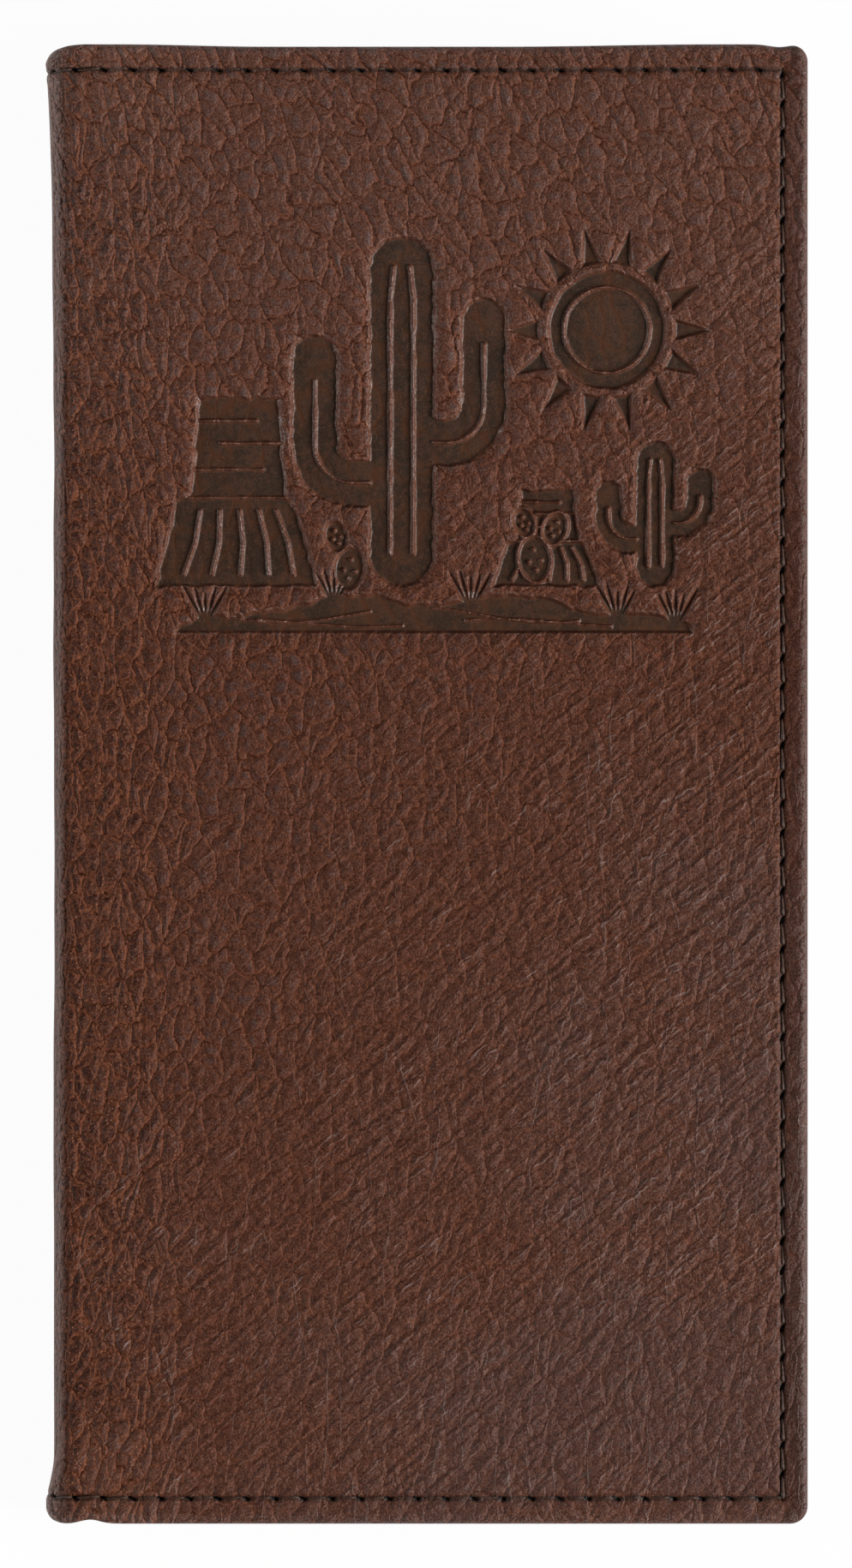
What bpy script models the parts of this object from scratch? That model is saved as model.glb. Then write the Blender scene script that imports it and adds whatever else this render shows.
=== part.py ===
"""A tall leather roper wallet, closed and lying on its back cover.

The wallet opens like a book. Its frame has +Z up through the thickness, +Y towards the wallet's top
edge and the spine on the -X side. The origin is the middle of the face that it rests on. Each half is
a stack of flat sheets, so sheets are placed by depth: the distance inwards from that half's own outer
face. The cover leather is laid out flat and then bent round the spine, as it is on the bench.
"""

import math

import bmesh
import bpy
from mathutils import Matrix, Vector

# The closed wallet, in metres
LENGTH = 0.1842
WIDTH = 0.0950
CORNER_RADIUS = 0.0022
LEAST_CORNER = 0.0003

# Cover leather, its edges turned in over a board, and the roll of its turned edge inside the spine
COVER_LEATHER = 0.0015
EDGE_ROUND = 0.0009
HEM_WIDTH = 0.0080
BEND_INSIDE = 0.0009

# Sheets inside each half
BOARD = 0.0008
LINING = 0.0003
PANEL_LEATHER = 0.0010
SLOT_LEATHER = 0.0009
WINDOW_SHEET = 0.0003
WINDOW_LEATHER = 0.0010

# Clearances
FIT_GAP = 0.0003
POCKET_GAP = 0.0008
MEETING_GAP = 0.0006
STACK_EDGE_STEP = 0.0008
BOARD_END_GAP = 0.0001
GUTTER_GAP = 0.0006

# Card pockets: three to a group, each a strip that stands lower than the one behind it
SLOTS_IN_GROUP = 3
SLOT_STEP = 0.0135
SLOT_CORNER = 0.0010
SLOT_TOP_MARGIN = 0.0110
LOW_GROUP_LENGTH = 0.0800
GROUP_GAP = 0.0130

# Identity card window in the back half
WINDOW_WIDTH = 0.0760
WINDOW_HEIGHT = 0.0480
WINDOW_CORNER = 0.0030
WINDOW_LIFT = 0.0035
WINDOW_RIM = 0.0130
THUMB_RADIUS = 0.0090
THUMB_DEPTH = 0.0045
WINDOW_SHEET_MARGIN = 0.0050

# Spine pieces between the two turned ends
SPINE_TAPE = 0.0004
SPINE_LINING = 0.0003

# The seam that runs round the wallet
SEAM_INSET = 0.0032
THREAD = 0.0005
THREAD_SINK = 0.0001
GROOVE_SIDE = 0.0003

# Desert picture pressed into the front cover. Heights are above its straight ground line.
PRESS_DEPTH = 0.0005
PICTURE_X = 0.0010
GROUND_LINE_Y = 0.0190
GROUND_HALF = 0.0320
GROUND_RISE = 0.0048
LEDGE = 0.0009
TALL_CACTUS_X = -0.0040
TALL_CACTUS_HEIGHT = 0.0490
TALL_CACTUS_HALF = 0.0040
TALL_CACTUS_ARMS = ((0.0185, -0.0108, 0.0340), (0.0235, 0.0102, 0.0385))
SMALL_CACTUS_X = 0.0275
SMALL_CACTUS_HEIGHT = 0.0235
SMALL_CACTUS_HALF = 0.0024
SMALL_CACTUS_ARMS = ((0.0115, -0.0058, 0.0170), (0.0135, 0.0056, 0.0185))
ARM_SHARE = 0.7
ELBOW_SHARE = 1.6
SUN_X = 0.0215
SUN_HEIGHT = 0.0375
SUN_RADIUS = 0.0072
SUN_RAYS = 14
RAY_START = 0.0085
RAY_END = 0.0125
RAY_HALF = 0.0011
MESA_LEFT = -0.0345
MESA_RIGHT = -0.0145
MESA_HEIGHT = 0.0290
BUTTE_LEFT = 0.0075
BUTTE_RIGHT = 0.0205
BUTTE_HEIGHT = 0.0175

# How finely round shapes are divided
CORNER_STEPS = 4
EDGE_STEPS = 3
BEND_STEPS = 4
ROUND_STEPS = 8

# Depths that follow from the sheets
BOARD_LOW = COVER_LEATHER + FIT_GAP
HEM_DEPTH = BOARD_LOW + BOARD
SPINE_BEND_RADIUS = HEM_DEPTH + BEND_INSIDE
LINING_LOW = HEM_DEPTH + FIT_GAP
PANEL_LOW = LINING_LOW + LINING + POCKET_GAP
PANEL_TOP = PANEL_LOW + PANEL_LEATHER
STACK_TOP = PANEL_TOP + SLOTS_IN_GROUP * (FIT_GAP + SLOT_LEATHER)
THICKNESS = 2 * STACK_TOP + MEETING_GAP
SPINE_TAPE_LOW = COVER_LEATHER + FIT_GAP
SPINE_LINING_LOW = SPINE_TAPE_LOW + SPINE_TAPE + FIT_GAP

# Places that follow from the size
FORE_EDGE = WIDTH / 2
SPINE_FACE = -WIDTH / 2
HALF_LENGTH = LENGTH / 2
SPINE_HALF = THICKNESS / 2 - SPINE_BEND_RADIUS
BEND_LENGTH = SPINE_BEND_RADIUS * math.pi / 2
FLAT_START = SPINE_HALF + BEND_LENGTH
FOLD_CUT = SPINE_HALF + BEND_LENGTH / 2
FORE_FLAT = FLAT_START + WIDTH - SPINE_BEND_RADIUS
PIVOT_INSET = SPINE_BEND_RADIUS * (1 - math.pi / 4)
STACK_LEFT = SPINE_FACE + SPINE_LINING_LOW + SPINE_LINING + GUTTER_GAP
STACK_RIGHT = FORE_EDGE - STACK_EDGE_STEP
STACK_END = HALF_LENGTH - STACK_EDGE_STEP
INSIDE_HEM = HALF_LENGTH - HEM_WIDTH - FIT_GAP
WINDOW_LOW_Y = -STACK_END + SEAM_INSET + WINDOW_LIFT
WINDOW_FRAME_TOP_Y = WINDOW_LOW_Y + WINDOW_HEIGHT + WINDOW_RIM
LOW_GROUP_TOP_Y = -STACK_END + LOW_GROUP_LENGTH
TOP_GROUP_TOP_Y = STACK_END - SLOT_TOP_MARGIN
TOP_GROUP_LOW_Y = max(LOW_GROUP_TOP_Y, WINDOW_FRAME_TOP_Y) + GROUP_GAP

MATERIALS = {
    "cover_leather": ((0.105, 0.042, 0.025), 0.55),
    "pocket_leather": ((0.090, 0.036, 0.022), 0.60),
    "fibre_board": ((0.300, 0.230, 0.160), 0.90),
    "lining_fabric": ((0.050, 0.030, 0.022), 0.85),
    "clear_vinyl": ((0.800, 0.820, 0.820), 0.15),
    "thread": ((0.020, 0.012, 0.009), 0.70),
}


def clear_scene():
    for old in list(bpy.data.objects):
        bpy.data.objects.remove(old)


def make_materials():
    made = {}
    for name, (colour, roughness) in MATERIALS.items():
        material = bpy.data.materials.new(name)
        material.use_nodes = True
        shader = material.node_tree.nodes["Principled BSDF"]
        shader.inputs["Base Color"].default_value = (*colour, 1.0)
        shader.inputs["Roughness"].default_value = roughness
        shader.inputs["Metallic"].default_value = 0.0
        made[name] = material
    return made


def make_pivots():
    """Empties on the two fold lines. The spine hangs on the lower one and the front half on the upper."""
    lower = bpy.data.objects.new("back_fold_axis", None)
    lower.location = (SPINE_FACE + PIVOT_INSET, 0, PIVOT_INSET)
    upper = bpy.data.objects.new("front_fold_axis", None)
    upper.location = (0, 0, THICKNESS - 2 * PIVOT_INSET)
    upper.parent = lower
    for empty in (lower, upper):
        bpy.context.scene.collection.objects.link(empty)
    bpy.context.view_layer.update()
    return {"back": None, "spine": lower, "front": upper}


def add_object(name, data, half, material):
    """Links an object whose data is drawn in the wallet's frame, and hangs it on its half's fold line."""
    made = bpy.data.objects.new(name, data)
    bpy.context.scene.collection.objects.link(made)
    data.materials.append(materials[material])
    pivot = pivots[half]
    if pivot:
        data.transform(Matrix.Translation(-pivot.matrix_world.translation))
        made.parent = pivot
    return made


def finish_mesh(name, shape, half, material):
    """Turns a bmesh into an object with its faces pointing out and its round stretches smooth."""
    bmesh.ops.recalc_face_normals(shape, faces=shape.faces)
    mesh = bpy.data.meshes.new(name)
    shape.to_mesh(mesh)
    shape.free()
    mesh.shade_smooth()
    mesh.set_sharp_from_angle(angle=math.radians(35))
    return add_object(name, mesh, half, material)


def height(depth, half):
    """Z of a point at this depth from the outer face of its half."""
    return THICKNESS - depth if half == "front" else depth


def bend(flat, across, depth):
    """Bends the flat cover: flat runs from the middle of the spine, positive to the back cover."""
    run = abs(flat)
    lower = 1 if flat > 0 else -1
    if run <= SPINE_HALF:
        return Vector((SPINE_FACE + depth, across, THICKNESS / 2 - flat))
    if run <= FLAT_START:
        angle = (run - SPINE_HALF) / SPINE_BEND_RADIUS
        radius = SPINE_BEND_RADIUS - depth
        x = SPINE_FACE + SPINE_BEND_RADIUS - radius * math.cos(angle)
        drop = SPINE_HALF + radius * math.sin(angle)
        return Vector((x, across, THICKNESS / 2 - lower * drop))
    x = SPINE_FACE + SPINE_BEND_RADIUS + run - FLAT_START
    drop = THICKNESS / 2 - depth
    return Vector((x, across, THICKNESS / 2 - lower * drop))


def arc_points(centre_x, centre_y, radius, start, end, steps):
    """Points on an arc, with its two ends. The angles are in degrees."""
    points = []
    for step in range(steps + 1):
        angle = math.radians(start + (end - start) * step / steps)
        points.append((centre_x + radius * math.cos(angle), centre_y + radius * math.sin(angle)))
    return points


def fore_outline(left, right, end, inset, corner):
    """An outline whose two fore corners are round. It starts and ends on its straight left side."""
    radius = max(corner - inset, LEAST_CORNER)
    x = right - inset - radius
    y = end - inset - radius
    points = [(left, -end + inset)]
    points += arc_points(x, -y, radius, -90, 0, CORNER_STEPS)
    points += arc_points(x, y, radius, 0, 90, CORNER_STEPS)
    points.append((left, end - inset))
    return points


def round_outline(left, right, low, high, corner):
    """A rectangle with four round corners."""
    points = []
    points += arc_points(right - corner, low + corner, corner, -90, 0, CORNER_STEPS)
    points += arc_points(right - corner, high - corner, corner, 0, 90, CORNER_STEPS)
    points += arc_points(left + corner, high - corner, corner, 90, 180, CORNER_STEPS)
    points += arc_points(left + corner, low + corner, corner, 180, 270, CORNER_STEPS)
    return points


def prism(outline, low, high):
    """A bmesh solid between two heights."""
    shape = bmesh.new()
    bottom = [shape.verts.new((x, y, low)) for x, y in outline]
    top = [shape.verts.new((x, y, high)) for x, y in outline]
    shape.faces.new(bottom)
    shape.faces.new(top)
    for here in range(len(outline)):
        after = (here + 1) % len(outline)
        shape.faces.new((bottom[here], bottom[after], top[after], top[here]))
    return shape


def sheet(name, outline, depth, thickness, half, material):
    """A flat sheet of a half, its outer side at this depth."""
    heights = (height(depth, half), height(depth + thickness, half))
    return finish_mesh(name, prism(outline, min(heights), max(heights)), half, material)


def cover_section():
    """(inset from the edge, depth) of the cover from its outer face round the turned edge to its inner face."""
    groove_half = THREAD / 2 + GROOVE_SIDE
    groove_depth = THREAD_SINK + THREAD + GROOVE_SIDE
    section = [
        (SEAM_INSET + groove_half, 0),
        (SEAM_INSET + groove_half, groove_depth),
        (SEAM_INSET - groove_half, groove_depth),
        (SEAM_INSET - groove_half, 0),
    ]
    for step in range(EDGE_STEPS + 1):
        angle = math.pi / 2 * step / EDGE_STEPS
        section.append((EDGE_ROUND * (1 - math.sin(angle)), EDGE_ROUND * (1 - math.cos(angle))))
    for step in range(EDGE_STEPS + 1):
        angle = math.pi / 2 * step / EDGE_STEPS
        inset = EDGE_ROUND * (1 - math.cos(angle))
        section.append((inset, HEM_DEPTH - EDGE_ROUND * (1 - math.sin(angle))))
    section.append((HEM_WIDTH, HEM_DEPTH))
    section.append((HEM_WIDTH, COVER_LEATHER))
    return section


def bend_stations():
    """Places along the flat cover where its bends are divided, on the back cover's side."""
    return [SPINE_HALF + BEND_LENGTH * step / BEND_STEPS for step in range(BEND_STEPS + 1)]


def divide_and_bend(shape, stations, sign):
    """Cuts the flat solid at each station and bends it. A sign of -1 bends it to the front."""
    for station in stations:
        parts = list(shape.verts) + list(shape.edges) + list(shape.faces)
        bmesh.ops.bisect_plane(
            shape, geom=parts, dist=1e-7, plane_co=(station, 0, 0), plane_no=(1, 0, 0)
        )
    for vertex in shape.verts:
        vertex.co = bend(sign * vertex.co.x, vertex.co.y, vertex.co.z)


def cover_half(half):
    """One cover: flat to the fore edge, with half of a spine bend."""
    shape = bmesh.new()
    rings = []
    for inset, depth in cover_section():
        outline = fore_outline(FOLD_CUT + FIT_GAP / 2, FORE_FLAT, HALF_LENGTH, inset, CORNER_RADIUS)
        rings.append([shape.verts.new((x, y, depth)) for x, y in outline])
    shape.faces.new(rings[0])
    shape.faces.new(rings[-1])
    for ring, after in zip(rings, rings[1:]):
        for here in range(len(ring) - 1):
            shape.faces.new((ring[here], ring[here + 1], after[here + 1], after[here]))
    shape.faces.new([ring[0] for ring in rings] + [ring[-1] for ring in reversed(rings)])
    divide_and_bend(shape, bend_stations(), 1 if half == "back" else -1)
    return finish_mesh(half + "_cover", shape, half, "cover_leather")


def spine_cover():
    """The strip of cover leather between the folds, with half of each bend."""
    shape = bmesh.new()
    section = [(HALF_LENGTH - inset, depth) for inset, depth in cover_section()]
    section += [(-across, depth) for across, depth in reversed(section)]
    cut = FOLD_CUT - FIT_GAP / 2
    rings = [[shape.verts.new((flat, y, z)) for y, z in section] for flat in (-cut, cut)]
    for ring in rings:
        shape.faces.new(ring)
    for here in range(len(section)):
        after = (here + 1) % len(section)
        shape.faces.new((rings[0][here], rings[0][after], rings[1][after], rings[1][here]))
    stations = bend_stations()
    divide_and_bend(shape, stations + [-station for station in stations], 1)
    return finish_mesh("spine_cover", shape, "spine", "cover_leather")


def spine_sheet(name, depth, thickness, material):
    """A flat strip inside the spine, between its turned ends."""
    x = SPINE_FACE + depth
    low = THICKNESS / 2 - SPINE_HALF
    outline = [
        (x, -INSIDE_HEM),
        (x + thickness, -INSIDE_HEM),
        (x + thickness, INSIDE_HEM),
        (x, INSIDE_HEM),
    ]
    return finish_mesh(name, prism(outline, low, THICKNESS - low), "spine", material)


def board(half):
    """Stiff board in the recess between the turned edges."""
    left = SPINE_FACE + SPINE_BEND_RADIUS + BOARD_END_GAP
    right = FORE_EDGE - HEM_WIDTH - FIT_GAP
    outline = fore_outline(left, right, INSIDE_HEM, 0, CORNER_RADIUS)
    return sheet(half + "_board", outline, BOARD_LOW, BOARD, half, "fibre_board")


def stack_outline():
    """The outline of the sheets that are sewn over the cover's turned edge."""
    return fore_outline(STACK_LEFT, STACK_RIGHT, STACK_END, 0, CORNER_RADIUS)


def slot_depth(place):
    """Depth of the outer side of a card strip, 0 for the strip that lies on the pocket panel."""
    return PANEL_TOP + FIT_GAP + place * (SLOT_LEATHER + FIT_GAP)


def card_slots(half, first, start, end):
    """A group of card strips, the first the highest. They share their low end."""
    for place in range(SLOTS_IN_GROUP):
        top = start - place * SLOT_STEP
        outline = round_outline(STACK_LEFT, STACK_RIGHT, end, top, SLOT_CORNER)
        name = f"{half}_card_slot_{first + place}"
        sheet(name, outline, slot_depth(place), SLOT_LEATHER, half, "pocket_leather")


def cut_with(target, cutter):
    """Cuts a helper object out of a piece, and keeps the helper out of the model."""
    cutter.hide_render = True
    cutter.display_type = "WIRE"
    cut = target.modifiers.new(cutter.name, "BOOLEAN")
    cut.operation = "DIFFERENCE"
    cut.object = cutter


def identity_window():
    """A clear sheet behind a leather frame, with a thumb notch in the frame's top edge."""
    middle = (STACK_LEFT + STACK_RIGHT) / 2
    left = middle - WINDOW_WIDTH / 2
    right = middle + WINDOW_WIDTH / 2
    high = WINDOW_LOW_Y + WINDOW_HEIGHT
    margin = WINDOW_SHEET_MARGIN
    clear = round_outline(
        left - margin, right + margin, WINDOW_LOW_Y - margin, high + margin, SLOT_CORNER
    )
    sheet_depth = PANEL_TOP + FIT_GAP
    sheet("id_window_sheet", clear, sheet_depth, WINDOW_SHEET, "back", "clear_vinyl")
    frame_depth = sheet_depth + WINDOW_SHEET + FIT_GAP
    outline = round_outline(STACK_LEFT, STACK_RIGHT, -STACK_END, WINDOW_FRAME_TOP_Y, SLOT_CORNER)
    frame = sheet("id_window_frame", outline, frame_depth, WINDOW_LEATHER, "back", "pocket_leather")
    opening = round_outline(left, right, WINDOW_LOW_Y, high, WINDOW_CORNER)
    notch_y = WINDOW_FRAME_TOP_Y + THUMB_RADIUS - THUMB_DEPTH
    notch = arc_points(middle, notch_y, THUMB_RADIUS, 0, 360, 4 * ROUND_STEPS)[:-1]
    for name, shape in (("window_cutter", opening), ("thumb_cutter", notch)):
        through = prism(shape, frame_depth - WINDOW_LEATHER, frame_depth + 2 * WINDOW_LEATHER)
        cut_with(frame, finish_mesh(name, through, "back", "pocket_leather"))


def thread_tube(name, points, half):
    """A round thread through these points, with closed ends."""
    curve = bpy.data.curves.new(name, "CURVE")
    curve.dimensions = "3D"
    curve.bevel_depth = THREAD / 2
    curve.bevel_resolution = 1
    curve.use_fill_caps = True
    line = curve.splines.new("POLY")
    line.points.add(len(points) - 1)
    for target, point in zip(line.points, points):
        target.co = (*point, 1)
    return add_object(name, curve, half, "thread")


def cover_thread(half):
    """The seam thread in the groove round a cover's three edges."""
    depth = THREAD_SINK + THREAD / 2
    start = FOLD_CUT + FIT_GAP / 2
    corner = SEAM_INSET + 2 * THREAD
    outline = fore_outline(start, FORE_FLAT, HALF_LENGTH, SEAM_INSET, corner)
    stations = [station for station in bend_stations() if station > start + THREAD]
    end = HALF_LENGTH - SEAM_INSET
    flat = outline[:1] + [(station, -end) for station in stations] + outline[1:-1]
    flat += [(station, end) for station in reversed(stations)] + outline[-1:]
    sign = 1 if half == "back" else -1
    points = [bend(sign * x, y, depth) for x, y in flat]
    return thread_tube(half + "_seam_thread", points, half)


def spine_thread(name, across):
    """The seam thread across the spine, from fold to fold."""
    depth = THREAD_SINK + THREAD / 2
    cut = FOLD_CUT - FIT_GAP / 2
    stations = [station for station in bend_stations() if station < cut - THREAD]
    flat = [-cut] + [-station for station in reversed(stations)] + stations + [cut]
    return thread_tube(name, [bend(place, across, depth) for place in flat], "spine")


def stroke(points, half_width):
    """The outline of a round-ended stroke along points, as a pen of this half width would draw it."""
    line = [Vector(point) for point in points]
    normals = []
    for before, after in zip(line, line[1:]):
        along = (after - before).normalized()
        normals.append(Vector((-along.y, along.x)))
    joined = [normals[0]]
    joined += [(a + b).normalized() for a, b in zip(normals, normals[1:])]
    joined.append(normals[-1])
    left = [point + side * half_width for point, side in zip(line, joined)]
    right = [point - side * half_width for point, side in zip(line, joined)]
    start_angle = math.degrees(math.atan2(joined[0].y, joined[0].x))
    end_angle = math.degrees(math.atan2(-joined[-1].y, -joined[-1].x))
    start_cap = arc_points(*line[0], half_width, start_angle, start_angle + 180, ROUND_STEPS)
    end_cap = arc_points(*line[-1], half_width, end_angle, end_angle + 180, ROUND_STEPS)
    outline = [tuple(point) for point in reversed(left[1:-1])] + start_cap
    return outline + [tuple(point) for point in right[1:-1]] + end_cap


def cactus_arm(trunk_x, root_y, reach, tip_y, half_width):
    """An arm that leaves the trunk level and turns up. A negative reach goes left."""
    side = 1 if reach > 0 else -1
    bend_radius = ELBOW_SHARE * half_width
    centre_x = trunk_x + reach - side * bend_radius
    centre_y = root_y + bend_radius
    sweep = (-90, 0) if side > 0 else (-90, -180)
    elbow = arc_points(centre_x, centre_y, bend_radius, *sweep, CORNER_STEPS)
    return stroke([(trunk_x, root_y)] + elbow + [(trunk_x + reach, tip_y)], half_width)


def cactus(trunk_x, top, half_width, arms):
    """Outlines of a saguaro: its trunk and its arms, each arm (root height, reach, tip height)."""
    foot = GROUND_RISE + LEDGE + half_width
    outlines = [stroke([(trunk_x, foot), (trunk_x, top - half_width)], half_width)]
    for root_y, reach, tip_y in arms:
        outlines.append(cactus_arm(trunk_x, root_y, reach, tip_y, half_width * ARM_SHARE))
    return outlines


def ground_outline():
    """A long low rise over a straight line."""
    steps = 4 * ROUND_STEPS
    points = [(-GROUND_HALF, 0), (GROUND_HALF, 0)]
    for step in range(1, steps):
        share = 1 - step / steps
        wave = 0.82 + 0.18 * math.cos(3 * math.tau * share)
        rise = GROUND_RISE * wave * math.sin(math.pi * share) ** 0.5
        points.append((GROUND_HALF * (2 * share - 1), rise))
    return points


def mesa_outline(left, right, top):
    """A flat-topped rock: a steep cap on a slope that spreads towards the ground."""
    foot = GROUND_RISE + LEDGE
    rise = top - foot
    width = right - left
    return [
        (left, foot),
        (right, foot),
        (right - 0.14 * width, foot + 0.42 * rise),
        (right - 0.20 * width, foot + 0.46 * rise),
        (right - 0.24 * width, top),
        (left + 0.26 * width, top),
        (left + 0.22 * width, foot + 0.50 * rise),
        (left + 0.12 * width, foot + 0.44 * rise),
    ]


def sun_outlines():
    """A disc and its tapered rays."""
    outlines = [arc_points(SUN_X, SUN_HEIGHT, SUN_RADIUS, 0, 360, 4 * ROUND_STEPS)[:-1]]
    for ray in range(SUN_RAYS):
        angle = math.tau * ray / SUN_RAYS
        along = Vector((math.cos(angle), math.sin(angle)))
        aside = Vector((-along.y, along.x))
        centre = Vector((SUN_X, SUN_HEIGHT))
        corners = (
            centre + along * RAY_START - aside * RAY_HALF,
            centre + along * RAY_END,
            centre + along * RAY_START + aside * RAY_HALF,
        )
        outlines.append([tuple(corner) for corner in corners])
    return outlines


def pressed_outlines():
    """Every outline of the desert picture, measured from the middle of its ground line."""
    outlines = [ground_outline()]
    outlines.append(mesa_outline(MESA_LEFT, MESA_RIGHT, MESA_HEIGHT))
    outlines.append(mesa_outline(BUTTE_LEFT, BUTTE_RIGHT, BUTTE_HEIGHT))
    outlines += cactus(TALL_CACTUS_X, TALL_CACTUS_HEIGHT, TALL_CACTUS_HALF, TALL_CACTUS_ARMS)
    outlines += cactus(SMALL_CACTUS_X, SMALL_CACTUS_HEIGHT, SMALL_CACTUS_HALF, SMALL_CACTUS_ARMS)
    return outlines + sun_outlines()


def press_picture(cover):
    """Presses the picture into the cover's outer face."""
    floor = THICKNESS - PRESS_DEPTH
    for number, outline in enumerate(pressed_outlines()):
        placed = [(PICTURE_X + x, GROUND_LINE_Y + y) for x, y in outline]
        shape = prism(placed, floor, THICKNESS + PRESS_DEPTH)
        cut_with(cover, finish_mesh(f"press_cutter_{number}", shape, "front", "cover_leather"))


def build_half(half, panel_name):
    """The pieces that both halves have, from the cover inwards."""
    cover = cover_half(half)
    board(half)
    sheet(half + "_lining", stack_outline(), LINING_LOW, LINING, half, "lining_fabric")
    sheet(panel_name, stack_outline(), PANEL_LOW, PANEL_LEATHER, half, "pocket_leather")
    cover_thread(half)
    card_slots(half, 1, TOP_GROUP_TOP_Y, TOP_GROUP_LOW_Y)
    return cover


def build_wallet():
    build_half("back", "checkbook_pocket_panel")
    identity_window()
    front_cover = build_half("front", "bill_pocket_panel")
    card_slots("front", 1 + SLOTS_IN_GROUP, LOW_GROUP_TOP_Y, -STACK_END)
    press_picture(front_cover)
    spine_cover()
    spine_sheet("spine_tape", SPINE_TAPE_LOW, SPINE_TAPE, "fibre_board")
    spine_sheet("spine_lining", SPINE_LINING_LOW, SPINE_LINING, "lining_fabric")
    spine_thread("spine_top_thread", HALF_LENGTH - SEAM_INSET)
    spine_thread("spine_bottom_thread", -HALF_LENGTH + SEAM_INSET)


clear_scene()
materials = make_materials()
pivots = make_pivots()
build_wallet()
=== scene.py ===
"""Looks of the roper wallet: crackled brown leather, a pressed desert picture, sunk stitches.

Lengths are metres. The cover leather is modelled laid out flat and then bent round the spine. A place
on it is (flat, across): flat runs outwards from the middle of the spine along one half, across is Y.
Depth is how far a point lies inside the leather's outer face.
"""

import math

import bpy
import numpy as np
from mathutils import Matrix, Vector


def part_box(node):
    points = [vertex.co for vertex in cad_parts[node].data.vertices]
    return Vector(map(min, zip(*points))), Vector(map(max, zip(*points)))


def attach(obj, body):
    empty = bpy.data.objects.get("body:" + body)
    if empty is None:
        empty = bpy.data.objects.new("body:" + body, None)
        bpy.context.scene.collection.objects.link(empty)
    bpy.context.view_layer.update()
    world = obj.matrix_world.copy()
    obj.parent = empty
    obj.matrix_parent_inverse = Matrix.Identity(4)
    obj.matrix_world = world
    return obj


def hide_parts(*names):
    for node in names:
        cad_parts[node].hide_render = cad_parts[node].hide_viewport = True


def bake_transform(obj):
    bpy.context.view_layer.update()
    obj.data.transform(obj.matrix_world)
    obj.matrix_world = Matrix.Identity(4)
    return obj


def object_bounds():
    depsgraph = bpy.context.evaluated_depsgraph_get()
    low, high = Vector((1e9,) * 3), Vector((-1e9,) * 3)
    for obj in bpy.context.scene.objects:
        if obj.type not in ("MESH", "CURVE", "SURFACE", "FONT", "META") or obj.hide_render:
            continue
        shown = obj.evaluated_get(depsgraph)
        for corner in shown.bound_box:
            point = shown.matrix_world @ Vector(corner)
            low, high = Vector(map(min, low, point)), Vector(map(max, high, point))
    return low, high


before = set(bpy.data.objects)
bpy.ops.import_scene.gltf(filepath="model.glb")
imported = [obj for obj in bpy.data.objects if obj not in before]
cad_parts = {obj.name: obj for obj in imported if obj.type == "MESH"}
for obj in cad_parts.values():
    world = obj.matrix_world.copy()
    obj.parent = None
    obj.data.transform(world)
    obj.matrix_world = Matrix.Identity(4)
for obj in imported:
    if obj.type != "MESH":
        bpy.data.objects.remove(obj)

# The CAD model's box gives the closed wallet's size
cad_low, cad_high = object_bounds()
WIDTH = cad_high.x - cad_low.x
LENGTH = cad_high.y - cad_low.y
THICKNESS = cad_high.z - cad_low.z
SPINE_X = cad_low.x
HALF_LENGTH = LENGTH / 2

# Cover leather: how it bends at the spine and rolls over at its edges
BEND_RADIUS = 0.0035
LEATHER = 0.0015
HEM_DEPTH = 0.0026
HEM_WIDTH = 0.0080
HEM_EDGE = 0.0003
EDGE_ROLL = 0.0011
CORNER_RADIUS = 0.0022
LEAST_CORNER = 0.0003
SPINE_HALF = THICKNESS / 2 - BEND_RADIUS
BEND_LENGTH = BEND_RADIUS * math.pi / 2
FLAT_START = SPINE_HALF + BEND_LENGTH
FORE_FLAT = FLAT_START + WIDTH - BEND_RADIUS
BLEND_MARGIN = 0.0006

# The same leather with its rolled edge measured along the surface
ROLL_LENGTH = EDGE_ROLL * math.pi / 2
SURFACE_U = FORE_FLAT - EDGE_ROLL + ROLL_LENGTH
SURFACE_V = HALF_LENGTH - EDGE_ROLL + ROLL_LENGTH
CORNER_Q = CORNER_RADIUS - EDGE_ROLL + ROLL_LENGTH

# Unevenness of the cover leather
BROAD_WAVE = 0.00016
SMALL_WAVE = 0.00007
SPINE_DIP = 0.00042
FOLD_LINE = 0.00012
BORDER_DROP = 0.00010
PINCH_DEPTH = 0.00108
PINCH_REACH = 0.0100
CORNER_REACH = 0.0046

# Mesh of the outer face: each size of square halves this near to the picture, and this near to the seam
BASE_SQUARE = 0.00112
HALVINGS = 3
FINEST = 2 ** HALVINGS
HALVE_NEAR = {8: (0.0020, 0.0017), 4: (0.0009, 0.0012), 2: (0.00042, -1)}
HALVE_AT_EDGE = 0.0021
HALVE_AT_SPINE = 0.005

# Seam
SEAM_INSET = 0.0032
SEAM_Q = SEAM_INSET - EDGE_ROLL + ROLL_LENGTH
STITCH_PITCH = 0.0036
END_STITCHES = round((FORE_FLAT - SEAM_INSET) / STITCH_PITCH)
FORE_STITCHES = round((LENGTH - 2 * SEAM_INSET) / STITCH_PITCH)
END_PITCH = (FORE_FLAT - SEAM_INSET) / END_STITCHES
FORE_PITCH = (LENGTH - 2 * SEAM_INSET) / FORE_STITCHES
STITCH_SLANT = 0.00013
FORE_SLOT = 0.00028
END_SLOT = 0.00021
HOLE_START = 0.0006
HOLE_DEPTH = 0.00075
PUCKER = 0.00013
PAST_CORNER = 0.0003

# Thread: the stitches of the two ends are sunk deeper, and thinner
THREAD_RADIUS = 0.00023
INNER_THREAD = 0.92 * THREAD_RADIUS
TUBE_SIDES = 8
FORE_SINK = 0.00006
END_SINK = 0.00017
END_THREAD = 0.82

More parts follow.
